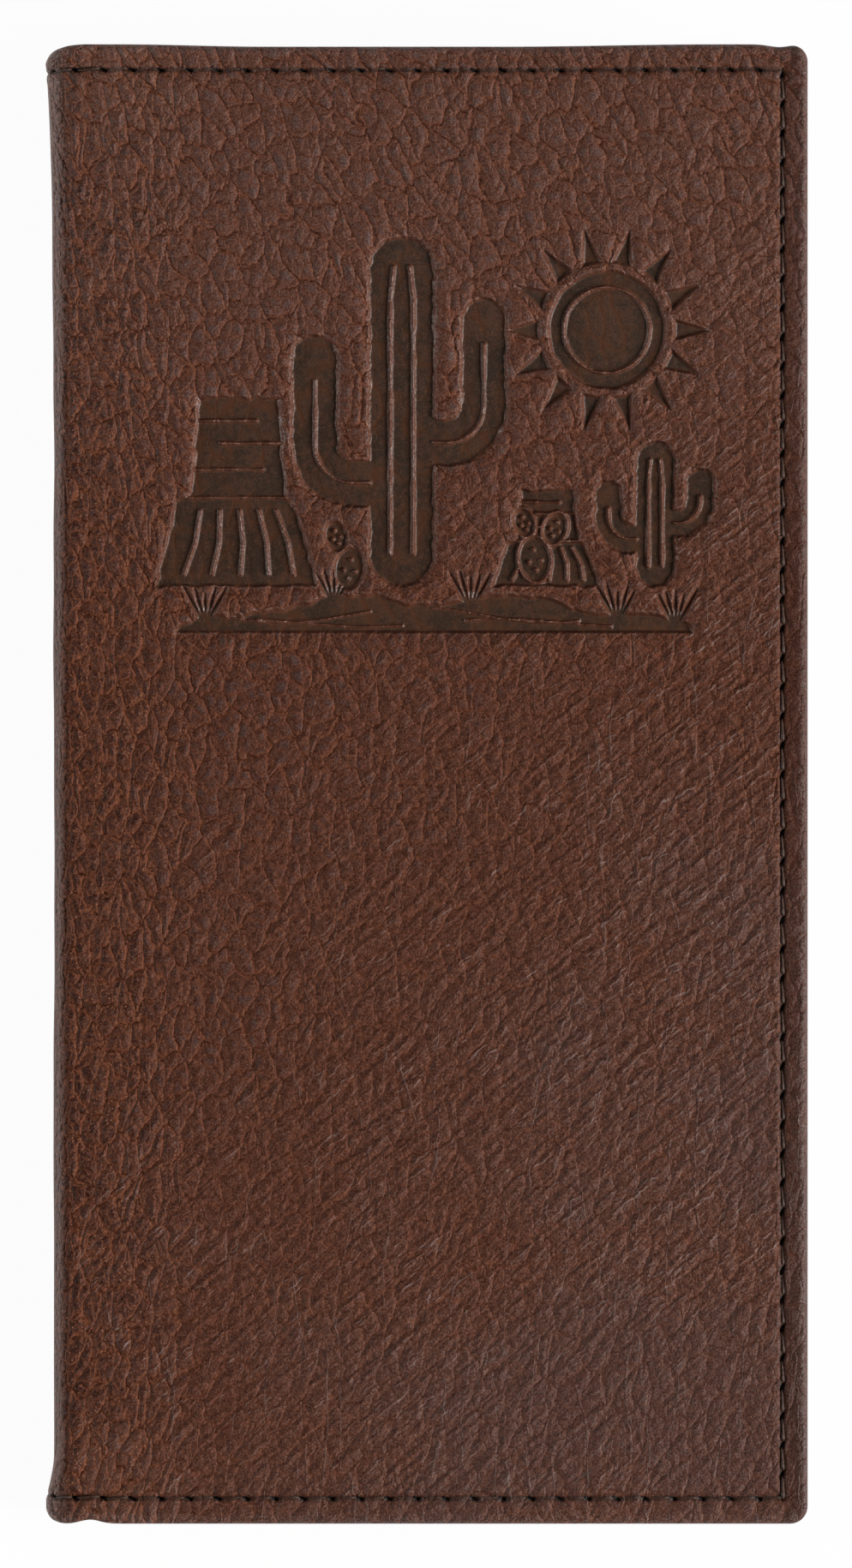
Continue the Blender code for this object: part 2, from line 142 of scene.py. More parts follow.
# Inside: sheets whose places are taken from the CAD nodes
SHEET_SQUARE = 0.0030
SHEET_CORNER = 0.0010
GUTTER_CORNER = 0.0004
CREASE_INSET = 0.0021
CREASE_HALF = 0.00024
CREASE_DEPTH = 0.00013
SHEET_SAG = 0.00005
WINDOW_MARGIN = 0.0050
WINDOW_CORNER = 0.0030
NOTCH_RADIUS = 0.0090
NOTCH_DEPTH = 0.0045
LINING_SQUARE = 0.0025
GLUE_GAP = 0.0003
SPINE_TUCK = 0.0002
TOUCHING = 0.000001

# Stitches inside: their runs, and each one's profile as (share of its pitch, millimetres above the sheet)
INNER_PITCH = 0.0031
GUTTER_INSET = 0.0026
GUTTER_END = 0.0010
TOP_INSET = 0.0016
FOOT_INSET = 0.0022
WINDOW_BORDER = 0.0024
INNER_STITCH = (
    (0.10, -0.55), (0.14, -0.18), (0.24, 0.0), (0.5, 0.03), (0.76, 0.0), (0.86, -0.18), (0.90, -0.55)
)

# Pressed desert picture, with the places and sizes of the CAD front cover
PRESS_DEPTH = 0.00062
SHOULDER_DROP = 0.00030
SHOULDER_REACH = 0.00075
PUFF = 0.00010
PICTURE_X = 0.0010
PICTURE_HALF = 0.0385
PICTURE_LOW = 0.0160
PICTURE_TOP = 0.0725
GROUND_LINE_Y = 0.0190
GROUND_HALF = 0.0320
GROUND_RISE = 0.0048
LEDGE = 0.0009
TALL_CACTUS = (-0.0040, 0.0490, 0.0040, ((0.0185, -0.0108, 0.0340), (0.0235, 0.0102, 0.0385)))
SMALL_CACTUS = (0.0275, 0.0235, 0.0024, ((0.0115, -0.0058, 0.0170), (0.0135, 0.0056, 0.0185)))
ARM_SHARE = 0.7
ELBOW_SHARE = 1.6
SUN_X = 0.0215
SUN_HEIGHT = 0.0375
SUN_RADIUS = 0.0072
SUN_RAYS = 14
RAY_START = 0.0085
RAY_END = 0.0125
RAY_HALF = 0.0011
MESA = (-0.0345, -0.0145, 0.0290)
BUTTE = (0.0075, 0.0205, 0.0175)
RAISED_LINE = 0.00017
FURROW_LINE = 0.00012
SPOT_RADIUS = 0.00020
PAD_GAP = 0.00035

# Distance that stands where no seam or picture is near
FAR = 0.01

# Size of the table of random numbers that waves() reads
NOISE_TABLE = 64

# Pixels of the photograph's height, and of the wallet's length in it
PHOTO_HEIGHT = 1830
PHOTO_WALLET = 1728

# Floor: half its width, and how far it lies below the CAD model. Room light: its strength
FLOOR_REACH = 3.0
FLOOR_DROP = 0.00022
ROOM_LIGHT = 0.14


def smooth(value, low, high):
    """0 below low, 1 above high, and a smooth rise between."""
    t = np.clip((value - low) / (high - low), 0, 1)
    return t * t * (3 - 2 * t)


def bump(value, centre, width):
    return np.exp(-(((value - centre) / width) ** 2))


def waves(x, y, grain, seed):
    """Smooth random waves from -1 to 1. grain is the distance between crests, roughly."""
    table = np.random.default_rng(seed).uniform(-1, 1, (NOISE_TABLE, NOISE_TABLE))
    u = x / grain
    v = y / grain
    i = np.floor(u).astype(int)
    j = np.floor(v).astype(int)
    fu = smooth(u - i, 0, 1)
    fv = smooth(v - j, 0, 1)

    def corner(di, dj):
        return table[(i + di) % NOISE_TABLE, (j + dj) % NOISE_TABLE]

    low = corner(0, 0) * (1 - fu) + corner(1, 0) * fu
    high = corner(0, 1) * (1 - fu) + corner(1, 1) * fu
    return low * (1 - fv) + high * fv


# Shape of the leather


def pinch(across):
    """How far the spine leather is drawn in: it flares out again near both ends."""
    from_top = HALF_LENGTH - across
    from_bottom = HALF_LENGTH + across
    top = 1 - np.exp(-np.clip(from_top - 0.0015, 0, None) / PINCH_REACH)
    return PINCH_DEPTH * top * smooth(from_bottom, 0.0012, 0.0085)


def worn_corner(x, reach, length, drop):
    """How far the leather's end is drawn in where the spine's corner is worn round."""
    share = np.clip((SPINE_X + reach - x) / length, 0, 1)
    return drop * (1 - np.sqrt(1 - share ** 2))


def end_shift(x, across):
    """How far the leather's end is drawn in along Y at the spine's corners, and its slight waviness."""
    near_top = smooth(across, HALF_LENGTH - CORNER_REACH, HALF_LENGTH)
    near_bottom = smooth(-across, HALF_LENGTH - CORNER_REACH, HALF_LENGTH)
    top = worn_corner(x, 0.0052, 0.0054, 0.0023)
    top = top + 0.00030 * smooth(x, -0.038, -0.020) * (1 - smooth(x, 0.010, 0.036))
    top = top + 0.00034 * bump(x, 0.0440, 0.0018)
    low = worn_corner(x, 0.0030, 0.0031, 0.0017)
    low = low + 0.00050 * bump(x, SPINE_X + 0.0057, 0.0017)
    return near_bottom * low - near_top * top


def place(flat, across, depth, half):
    """Bends flat leather round the spine. half is front or back. Returns X, Y and Z as columns."""
    angle = np.clip((flat - SPINE_HALF) / BEND_RADIUS, 0, math.pi / 2)
    at_spine = 1 - smooth(flat, SPINE_HALF + 0.3 * BEND_LENGTH, FLAT_START)
    outer = 1 - 0.75 * smooth(depth, 0, LEATHER)
    depth = depth + pinch(across) * at_spine * outer
    radius = BEND_RADIUS - depth
    x = SPINE_X + BEND_RADIUS - radius * np.cos(angle) + np.clip(flat - FLAT_START, 0, None)
    rise = np.minimum(flat, SPINE_HALF) + radius * np.sin(angle)
    side = 1 if half == "front" else -1
    y = across + end_shift(x, across)
    return np.column_stack((x, y, THICKNESS / 2 + side * rise))


def roll_edges(u, v):
    """From a point on the leather's surface to (flat, across, depth), round its rolled edges."""
    to_fore = SURFACE_U - u
    to_end = SURFACE_V - np.abs(v)

    def section(q):
        angle = np.clip(q / EDGE_ROLL, 0, math.pi / 2)
        inset = EDGE_ROLL * (1 - np.cos(angle)) + np.clip(q - ROLL_LENGTH, 0, None)
        return inset, EDGE_ROLL * (1 - np.sin(angle))

    fore_inset, fore_depth = section(to_fore)
    end_inset, end_depth = section(to_end)
    flat = FORE_FLAT - fore_inset
    across = HALF_LENGTH - end_inset
    depth = np.maximum(fore_depth, end_depth)
    a = CORNER_Q - to_fore
    b = CORNER_Q - to_end
    corner = (a > 0) & (b > 0)
    turn = np.arctan2(b, a)
    inset, corner_depth = section(CORNER_Q - np.maximum(a, b))
    radius = CORNER_RADIUS - inset
    flat = np.where(corner, FORE_FLAT - CORNER_RADIUS + radius * np.cos(turn), flat)
    across = np.where(corner, HALF_LENGTH - CORNER_RADIUS + radius * np.sin(turn), across)
    depth = np.where(corner, corner_depth, depth)
    return flat, across * np.sign(v), depth


def seam_place(u, v):
    """(along, aside, pitch) of the nearest seam line. Aside grows to the edge, or inwards at the bottom."""
    fore_aside = u - (SURFACE_U - SEAM_Q)
    end_aside = np.abs(v) - (SURFACE_V - SEAM_Q)
    fore = np.abs(fore_aside) < np.abs(end_aside)
    aside = np.where(fore, fore_aside, end_aside * np.where(v < 0, -1, 1))
    along = np.where(fore, SURFACE_V - SEAM_Q - v, u)
    on_line = np.where(fore, end_aside, fore_aside) < PAST_CORNER
    return along, np.where(on_line, aside, FAR), np.where(fore, FORE_PITCH, END_PITCH)


def seam_relief(u, v):
    """Height of the leather round the seam: a slot for each stitch, its hole, and puckers beside it."""
    along, aside, pitch = seam_place(u, v)
    phase = (along / pitch) % 1
    step = phase * pitch
    line = aside - STITCH_SLANT * (2 * phase - 1)
    wide = np.where(pitch == FORE_PITCH, FORE_SLOT, END_SLOT)
    slot = 1.25 * wide * bump(line, 0, wide) * smooth(phase, 0.10, 0.35)
    lean = aside + 0.36 * (step - HOLE_START)
    hole = HOLE_DEPTH * smooth(np.abs(step - HOLE_START), 0.00062, 0.00036) * bump(lean, 0, 0.00021)
    uneven = 1 + 0.5 * waves(along, aside, 0.0035, 11)
    puckers = bump(phase, 0.62, 0.28) * (bump(aside, -0.0010, 0.0006) + 0.7 * bump(aside, 0.0009, 0.0005))
    valley = 0.00013 * bump(aside, 0, 0.0013)
    return PUCKER * puckers * uneven - slot - hole - valley


# Pressed picture: signed distances, negative inside a pressed shape


def to_segment(x, y, start, end):
    ax, ay = start
    dx = end[0] - ax
    dy = end[1] - ay
    share = np.clip(((x - ax) * dx + (y - ay) * dy) / (dx * dx + dy * dy), 0, 1)
    return np.hypot(x - ax - share * dx, y - ay - share * dy)


def to_path(x, y, points):
    return np.minimum.reduce([to_segment(x, y, a, b) for a, b in zip(points, points[1:])])


def polygon(x, y, corners):
    """Signed distance to a closed outline."""
    inside = np.zeros(x.shape, bool)
    for (ax, ay), (bx, by) in zip(corners, corners[1:] + corners[:1]):
        if ay == by:
            continue
        crosses = (ay > y) != (by > y)
        inside ^= crosses & (x < (bx - ax) * (y - ay) / (by - ay) + ax)
    distance = to_path(x, y, corners + corners[:1])
    return np.where(inside, -distance, distance)


def arc(centre, radius, start, end, steps):
    angles = [math.radians(start + (end - start) * step / steps) for step in range(steps + 1)]
    return [(centre[0] + radius * math.cos(a), centre[1] + radius * math.sin(a)) for a in angles]


def raise_line(shape, line, half_width=RAISED_LINE):
    """Leaves a thin line standing in a pressed shape."""
    return np.maximum(shape, half_width - line)


def cactus(x, y, trunk_x, height, half, arms):
    """A saguaro with raised ribs. Each arm is (root height, reach, tip height)."""
    foot = GROUND_RISE + LEDGE + half
    trunk = [(trunk_x, foot), (trunk_x, height - half)]
    shape = to_path(x, y, trunk) - half
    ribs = []
    for side in (-0.36, 0.36):
        lean = trunk_x + side * half
        tip = (trunk_x + 0.7 * side * half, height - 0.9 * half)
        ribs.append([(lean, foot), (lean, height - 1.9 * half), tip])
    arm_half = half * ARM_SHARE
    for root, reach, tip in arms:
        side = 1 if reach > 0 else -1
        turn = ELBOW_SHARE * arm_half
        centre = (trunk_x + reach - side * turn, root + turn)
        elbow = arc(centre, turn, -90, 0 if side > 0 else -180, 6)
        path = [(trunk_x, root)] + elbow + [(trunk_x + reach, tip)]
        shape = np.minimum(shape, to_path(x, y, path) - arm_half)
        ribs.append([(trunk_x + side * half, root)] + elbow + [(trunk_x + reach, tip - arm_half)])
    shape = shape + (0.00016 * waves(x, y, 0.0009, 21) + 0.00010 * waves(x, y, 0.0004, 22))
    for rib in ribs:
        shape = raise_line(shape, to_path(x, y, rib) + 0.00009 * waves(x, y, 0.0016, 23))
    return shape


def ground_rise(x):
    """Height of the long low rise that everything stands on."""
    share = np.clip(x / (2 * GROUND_HALF) + 0.5, 0, 1)
    return GROUND_RISE * (0.82 + 0.18 * np.cos(6 * math.pi * share)) * np.sqrt(np.sin(math.pi * share))


def ground(x, y):
    """The rise over a straight line, a little rough along its top, with furrows in it."""
    rise = ground_rise(x) + 0.00035 * waves(x, x, 0.0017, 31)
    shape = np.maximum((y - rise) * 0.8, -y)
    shape = np.maximum(shape, np.abs(x) - GROUND_HALF)
    for row, low in enumerate((0.0014, 0.0027)):
        furrow = y - low * (0.75 + 0.35 * np.sin(190 * x + 2 * row))
        keep = np.abs(np.abs(x + 0.004 * row) - 0.013) - 0.009
        shape = raise_line(shape, np.maximum(np.abs(furrow), keep), FURROW_LINE)
    return shape


def grass(x, y):
    """Tufts of blades that stand on the rise."""
    blades = []
    random = np.random.default_rng(41)
    for tuft in (-0.0285, -0.0125, 0.0045, 0.0228, 0.0300):
        foot = ground_rise(tuft)
        for lean in (-0.9, -0.45, 0.0, 0.45, 0.9):
            tall = 0.0026 + 0.0012 * random.uniform()
            tip = (tuft + lean * tall * 0.8, foot + tall)
            root = (tuft + 0.0003 * lean, foot - 0.0006)
            share_up = np.clip((y - root[1]) / (tip[1] - root[1]), 0, 1)
            blades.append(to_segment(x, y, root, tip) - 0.00034 * (1.1 - share_up))
    return np.minimum.reduce(blades)


def mesa(x, y, left, right, height):
    """A flat-topped rock with raised strata and gullies down its slopes."""
    foot = GROUND_RISE + LEDGE
    rise = height - foot
    width = right - left
    corners = [
        (left, foot),
        (right, foot),
        (right - 0.14 * width, foot + 0.42 * rise),
        (right - 0.20 * width, foot + 0.46 * rise),
        (right - 0.24 * width, height),
        (left + 0.26 * width, height),
        (left + 0.22 * width, foot + 0.50 * rise),
        (left + 0.12 * width, foot + 0.44 * rise),
    ]
    shape = polygon(x, y, corners) + 0.00022 * waves(x, y, 0.0011, 51)
    strata = ((0.88, 0.25, 0.62), (0.76, 0.40, 0.77), (0.62, 0.22, 0.66), (0.47, 0.16, 0.84))
    for share, start, end in strata:
        level = foot + share * rise
        points = [(left + start * width, level), (left + end * width, level)]
        shape = raise_line(shape, to_path(x, y, points) + 0.00012 * waves(x, y, 0.0014, 52))
    for share in (0.20, 0.36, 0.52, 0.68, 0.82):
        top = (left + (0.12 + 0.76 * share) * width, foot + 0.40 * rise)
        low = (left + (share * 1.10 - 0.05) * width, foot + 0.06 * rise)
        middle = ((top[0] + low[0]) / 2 + 0.0004 * math.sin(40 * share), (top[1] + low[1]) / 2)
        shape = raise_line(shape, to_path(x, y, [top, middle, low]))
    return shape


def sun(x, y):
    dx = x - SUN_X
    dy = y - SUN_HEIGHT
    far = np.hypot(dx, dy)
    shape = far - SUN_RADIUS + 0.00010 * waves(x, y, 0.0012, 61)
    shape = raise_line(shape, np.abs(far - 0.74 * SUN_RADIUS) + 0.00006 * waves(x, y, 0.001, 62))
    turn = 2 * math.pi / SUN_RAYS
    angle = np.arctan2(dy, dx)
    angle = angle - turn * np.round(angle / turn)
    along = far * np.cos(angle)
    aside = np.abs(far * np.sin(angle))
    taper = RAY_HALF * np.clip((RAY_END - along) / (RAY_END - RAY_START), 0, 1)
    rays = np.maximum(np.maximum(aside - taper, RAY_START - along), along - RAY_END)
    return np.minimum(shape, rays)


def prickly_pear(x, y):
    """Flat oval pads, each with raised spots. A pad is (x, y, half width, half height, tilt)."""
    pads = (
        (0.0125, 0.0090, 0.0019, 0.0027, 8),
        (0.0150, 0.0128, 0.0014, 0.0019, -22),
        (0.0112, 0.0135, 0.0012, 0.0017, 20),
        (-0.0105, 0.0078, 0.0018, 0.0025, -8),
        (-0.0122, 0.0118, 0.0013, 0.0018, 18),
    )
    shapes = []
    for px, py, rx, ry, tilt in pads:
        c = math.cos(math.radians(tilt))
        s = math.sin(math.radians(tilt))
        a = ((x - px) * c + (y - py) * s) / rx
        b = (-(x - px) * s + (y - py) * c) / ry
        shape = (np.hypot(a, b) - 1) * min(rx, ry)
        for spot_a, spot_b in ((0, 0.45), (-0.4, -0.1), (0.4, -0.1), (0, -0.5)):
            shape = np.maximum(shape, SPOT_RADIUS - np.hypot((a - spot_a) * rx, (b - spot_b) * ry))
        shapes.append(shape)
    return np.minimum.reduce(shapes)


def picture(x, y):
    """Signed distance to the pressed picture. x and y are on the front cover, in the row's frame."""
    x = x - PICTURE_X
    y = y - GROUND_LINE_Y
    rocks = np.minimum(mesa(x, y, *MESA), mesa(x, y, *BUTTE))
    pads = prickly_pear(x, y)
    rocks = np.maximum(rocks, PAD_GAP - pads)
    plants = np.minimum(cactus(x, y, *TALL_CACTUS), cactus(x, y, *SMALL_CACTUS))
    return np.minimum.reduce([rocks, pads, plants, ground(x, y), grass(x, y), sun(x, y)])


def picture_distance(flat, across, half):
    """picture() where it can be on the front cover, and far away elsewhere."""
    distance = np.full(flat.shape, FAR)
    if half == "back":
        return distance
    x = SPINE_X + BEND_RADIUS + flat - FLAT_START
    near = np.abs(x - PICTURE_X) < PICTURE_HALF
    near &= (across > PICTURE_LOW) & (across < PICTURE_TOP)
    distance[near] = picture(x[near], across[near])
    return distance


def press_relief(distance):
    """Height of pressed leather: a flat floor, a steep wall, and a soft puffed shoulder outside it."""
    wall = smooth(-distance, -0.00020, 0.00022)
    outside = np.clip(distance, 0, None)
    shoulder = SHOULDER_DROP * np.exp(-outside / SHOULDER_REACH) - PUFF * bump(outside, 0.0021, 0.0011)
    return (SHOULDER_DROP - PRESS_DEPTH) * wall - shoulder


def to_edge(u, v):
    return np.minimum(SURFACE_U - u, SURFACE_V - np.abs(v))


def relief(u, v, half):
    """Height of the leather above its plain bent shape, and its distance to the pressed picture."""
    flat, across, _ = roll_edges(u, v)
    edge = to_edge(u, v)
    seed = 70 if half == "front" else 80
    broad = BROAD_WAVE * waves(flat, across, 0.021, seed)
    height = broad + SMALL_WAVE * waves(flat, across, 0.008, seed + 1)
    height = height - SPINE_DIP * bump(flat, FLAT_START, 0.0042) * (flat > SPINE_HALF)
    height = height - FOLD_LINE * bump(flat, FLAT_START + 0.0016, 0.0010)
    height = height - BORDER_DROP * smooth(-edge, -SEAM_Q, -SEAM_Q + 0.0008)
    distance = picture_distance(flat, across, half)
    fold = smooth(flat, 0, SPINE_HALF)
    height = height * fold + seam_relief(u, v) + press_relief(distance) * (distance < 0.9 * FAR)
    return height * smooth(edge, 0.0002, 0.0022), distance


# Mesh of the leather


def split_squares(columns, rows, half):
    """Lattice squares that halve where the leather has detail: arrays of (i, j, size)."""
    size = FINEST
    i, j = np.meshgrid(np.arange(columns) * size, np.arange(rows) * size, indexing="ij")
    i = i.ravel()
    j = j.ravel()
    kept = []
    while size > 1:
        u, v = lattice_place(i + size / 2, j + size / 2, columns, rows)
        flat, across, _ = roll_edges(u, v)
        _, aside, _ = seam_place(u, v)
        near_picture, near_seam = HALVE_NEAR[size]
        finer = np.abs(picture_distance(flat, across, half)) < near_picture
        finer |= np.abs(aside) < near_seam
        if size > 2:
            finer |= to_edge(u, v) < HALVE_AT_EDGE
        if size == FINEST:
            finer |= flat < FLAT_START + HALVE_AT_SPINE
        kept.append(np.column_stack((i[~finer], j[~finer], np.full((~finer).sum(), size))))
        size //= 2
        i = i[finer]
        j = j[finer]
        i, j = np.concatenate((i, i + size, i, i + size)), np.concatenate((j, j, j + size, j + size))
    kept.append(np.column_stack((i, j, np.full(len(i), size))))
    return np.concatenate(kept)


def lattice_place(i, j, columns, rows):
    u = SURFACE_U * i / (columns * FINEST)
    v = SURFACE_V * (2 * j / (rows * FINEST) - 1)
    return u, v


def join_squares(squares, columns, rows):
    """Points and faces of the squares. A square with a finer neighbour becomes a fan, so no edge gapes."""
    marked = np.zeros((columns * FINEST + 1, rows * FINEST + 1), bool)
    i, j, size = squares.T
    for di in (0, 1):
        for dj in (0, 1):
            marked[i + di * size, j + dj * size] = True
    broken = np.zeros(len(squares), bool)
    for step in range(1, FINEST):
        wide = size > step
        k, m, s = squares[wide].T
        hit = marked[k + step, m] | marked[k + step, m + s] | marked[k, m + step] | marked[k + s, m + step]
        broken[wide] |= hit
    fans = squares[broken]
    marked[fans[:, 0] + fans[:, 2] // 2, fans[:, 1] + fans[:, 2] // 2] = True
    number = np.cumsum(marked.ravel()).reshape(marked.shape) - 1
    i, j, size = squares[~broken].T
    quads = (number[i, j], number[i + size, j], number[i + size, j + size], number[i, j + size])
    faces = np.column_stack(quads).tolist()
    for i, j, size in fans.tolist():
        steps = range(size)
        ring = [(i + k, j) for k in steps] + [(i + size, j + k) for k in steps]
        ring += [(i + size - k, j + size) for k in steps] + [(i, j + size - k) for k in steps]
        ring = [number[point] for point in ring if marked[point]]
        centre = number[i + size // 2, j + size // 2]
        faces += [(centre, a, b) for a, b in zip(ring, ring[1:] + ring[:1])]
    return np.argwhere(marked), faces, number, marked


def hem_rings():
    """(inset, depth) of the rings from the middle of the rolled edge to the turned-in edge inside."""
    rings = []
    for step in range(1, 5):
        angle = math.pi / 2 * step / 4
        depth = EDGE_ROLL + (HEM_DEPTH - EDGE_ROLL) * math.sin(angle)
        rings.append((EDGE_ROLL * (1 - math.cos(angle)), depth))
    rings.append((HEM_WIDTH - HEM_EDGE, HEM_DEPTH))
    rings.append((HEM_WIDTH, HEM_DEPTH - HEM_EDGE))
    rings.append((HEM_WIDTH, LEATHER))
    return rings


def hem_ring(u, v, inset):
    """(flat, across) of a ring at this inset from the leather's outline, one point for each edge point."""
    radius = max(CORNER_RADIUS - inset, LEAST_CORNER)
    centre_flat = FORE_FLAT - inset - radius
    centre_across = HALF_LENGTH - inset - radius
    a = CORNER_Q - (SURFACE_U - u)
    b = CORNER_Q - (SURFACE_V - np.abs(v))
    turn = np.arctan2(np.clip(b, 0, None), np.clip(a, 0, None))
    end_flat = u * centre_flat / (FORE_FLAT - CORNER_RADIUS)
    fore_across = np.abs(v) * centre_across / (HALF_LENGTH - CORNER_RADIUS)
    flat = np.where(a > 0, centre_flat + radius * np.cos(turn), end_flat)
    across = np.where(b > 0, centre_across + radius * np.sin(turn), fore_across)
    return flat, across * np.sign(v)


def leather_half(half, material):
    """The cover leather of one half, from the middle of the spine to the turned edge."""
    columns = round(SURFACE_U / BASE_SQUARE)
    rows = round(2 * SURFACE_V / BASE_SQUARE)
    squares = split_squares(columns, rows, half)
    points, faces, number, marked = join_squares(squares, columns, rows)
    u, v = lattice_place(points[:, 0], points[:, 1], columns, rows)
    flat, across, depth = roll_edges(u, v)
    height, distance = relief(u, v, half)
    along, aside, pitch = seam_place(u, v)
    seam = np.column_stack((along / pitch, aside * 1000))
    position = [place(flat, across, depth - height, half)]
    laid = [np.column_stack((u, v))]
    last_i = columns * FINEST
    last_j = rows * FINEST
    edge = [(k, 0) for k in range(last_i)] + [(last_i, k) for k in range(last_j)]
    edge += [(last_i - k, last_j) for k in range(last_i + 1)]
    edge = np.array([point for point in edge if marked[point]])
    ring = number[edge[:, 0], edge[:, 1]]
    edge_u, edge_v = lattice_place(edge[:, 0], edge[:, 1], columns, rows)
    to_fore = np.clip(CORNER_Q - (SURFACE_U - edge_u), 0, None)
    to_end = np.clip(CORNER_Q - (SURFACE_V - np.abs(edge_v)), 0, None)
    outward = np.column_stack((to_fore, to_end * np.sign(edge_v))) / np.hypot(to_fore, to_end)[:, None]
    total = len(points)
    travelled = 0
    last_inset, last_depth = 0, EDGE_ROLL
    for inset, depth in hem_rings():
        travelled += math.hypot(inset - last_inset, depth - last_depth)
        last_inset, last_depth = inset, depth
        ring_flat, ring_across = hem_ring(edge_u, edge_v, inset)
        position.append(place(ring_flat, ring_across, np.full(len(ring), depth), half))
        laid.append(np.column_stack((edge_u, edge_v)) + outward * travelled)
        after = np.arange(total, total + len(ring))
        total += len(ring)
        faces += np.column_stack((ring[1:], ring[:-1], after[:-1], after[1:])).tolist()
        ring = after
    ends = int((edge[:, 1] == 0).sum())
    for k in range(ends - 1):
        faces.append((ring[k + 1], ring[k], ring[-1 - k], ring[-2 - k]))
    faces.append(tuple(ring[ends - 1:len(ring) - ends + 1][::-1]))
    if half == "back":
        faces = [tuple(reversed(face)) for face in faces]
    spare = total - len(points)
    sign = 1 if half == "front" else -1
    values = {
        "laid_flat": np.concatenate(laid) * (1000 * sign, 1000),
        "seam": np.concatenate((seam, np.tile((0, 10), (spare, 1)))),
        "press": np.concatenate((distance, np.full(spare, FAR))) * 1000,
    }
    return add_piece(half + "_leather", np.concatenate(position), faces, material, values)


def add_piece(name, points, faces, material, values=()):
    """A new smooth object. values are numbers or pairs for each point, stored by name for its material."""
    mesh = bpy.data.meshes.new(name)
    mesh.from_pydata(np.asarray(points).tolist(), [], faces)
    for key, numbers in dict(values).items():
        numbers = np.asarray(numbers, np.float32)
        kind, field = "FLOAT", "value"
        if numbers.ndim == 2:
            kind, field = "FLOAT_VECTOR", "vector"
            numbers = np.column_stack((numbers, np.zeros(len(numbers), np.float32)))
        mesh.attributes.new(key, kind, "POINT").data.foreach_set(field, numbers.ravel())
    mesh.shade_smooth()
    mesh.materials.append(material)
    piece = bpy.data.objects.new(name, mesh)
    bpy.context.scene.collection.objects.link(piece)
    return piece


def grid_faces(number, flip, used=None):
    """Four-sided faces of a grid of numbered points. used marks the squares that get one."""
    quads = np.stack((number[:-1, :-1], number[1:, :-1], number[1:, 1:], number[:-1, 1:]), axis=-1)
    quads = quads.reshape(-1, 4) if used is None else quads[used]
    return (quads[:, ::-1] if flip else quads).tolist()


def tube(points, radius):
    """Points and faces of a closed round tube along points."""
    points = np.asarray(points, float)
    along = np.gradient(points, axis=0)
    along /= np.linalg.norm(along, axis=1)[:, None]
    aside = np.cross(along, (0.31, 0.17, 0.93))
    aside /= np.linalg.norm(aside, axis=1)[:, None]
    above = np.cross(along, aside)
    turns = np.arange(TUBE_SIDES) * 2 * math.pi / TUBE_SIDES
    rings = points[:, None] + radius * (
        np.cos(turns)[None, :, None] * aside[:, None] + np.sin(turns)[None, :, None] * above[:, None]
    )
    faces = []
    for k in range(len(points) - 1):
        for side in range(TUBE_SIDES):
            after = (side + 1) % TUBE_SIDES
            low = k * TUBE_SIDES
            high = low + TUBE_SIDES
            faces.append((low + side, low + after, high + after, high + side))
    faces.append(tuple(range(TUBE_SIDES))[::-1])
    last = (len(points) - 1) * TUBE_SIDES
    faces.append(tuple(range(last, last + TUBE_SIDES)))
    return rings.reshape(-1, 3), faces


def tubes_piece(name, tubes, material, values=()):
    """One piece from many closed tubes. Each is (points, radius)."""
    points = []
    faces = []
    total = 0
    for path, radius in tubes:
        ring, ring_faces = tube(path, radius)
        points.append(ring)
        faces += [tuple(total + k for k in face) for face in ring_faces]
        total += len(ring)
    return add_piece(name, np.concatenate(points), faces, material, values)


def stitch_path(pitch, slant):
    """(along, aside, depth) of one stitch: slowly up out of its hole, then steeply down into the next."""
    shares = np.array((0.20, 0.27, 0.36, 0.50, 0.66, 0.80, 0.89, 0.95, 0.99, 1.02))
    depths = np.array((0.95, 0.66, 0.46, 0.37, 0.33, 0.28, 0.23, 0.27, 0.50, 0.85)) * 0.001
    return shares * pitch, slant * (2 * shares - 1), depths


def seam_stitches(half, material):
    """Every stitch of one half's seam, as one piece."""
    inner_flat = FORE_FLAT - SEAM_INSET
    inner_across = HALF_LENGTH - SEAM_INSET
    random = np.random.default_rng(5 if half == "front" else 6)
    end = (END_STITCHES, END_PITCH, END_SINK, END_THREAD)
    fore = (FORE_STITCHES, FORE_PITCH, FORE_SINK, 1.0)
    tubes = []
    sunk = []
    for line, (count, pitch, sink, thin) in (("top", end), ("bottom", end), ("fore", fore)):
        for stitch in range(count):
            slant = STITCH_SLANT * random.uniform(0.7, 1.3)
            along, aside, depth = stitch_path(pitch, slant)
            along = along + stitch * pitch
            aside = aside + random.uniform(-0.00004, 0.00004)
            flat, across = along, aside - inner_across
            if line == "fore":
                flat, across = inner_flat + aside, inner_across - along
            elif line == "top":
                across = inner_across + aside
            path = place(flat, across, depth + sink, half)
            tubes.append((path, thin * THREAD_RADIUS * random.uniform(0.94, 1.06)))
            sunk.append(np.repeat(depth, TUBE_SIDES) * 1000)
    return tubes_piece(half + "_stitches", tubes, material, {"sunk": np.concatenate(sunk)})


def stops(low, high, spacing, details):
    """Sorted places from low to high: the details, and others between them at most this spacing apart."""
    places = [low]
    details = sorted({round(place, 7) for place in details if low + TOUCHING < place < high - TOUCHING})
    details = [low, *details, high]
    for start, end in zip(details, details[1:]):
        count = math.ceil((end - start) / spacing)
        places += [start + (end - start) * step / count for step in range(1, count + 1)]
    return np.array(places)


def from_ends(low, high, near_low, near_high):
    """Places at these distances inwards from both ends."""
    return [low + q for q in near_low] + [high - q for q in near_high]


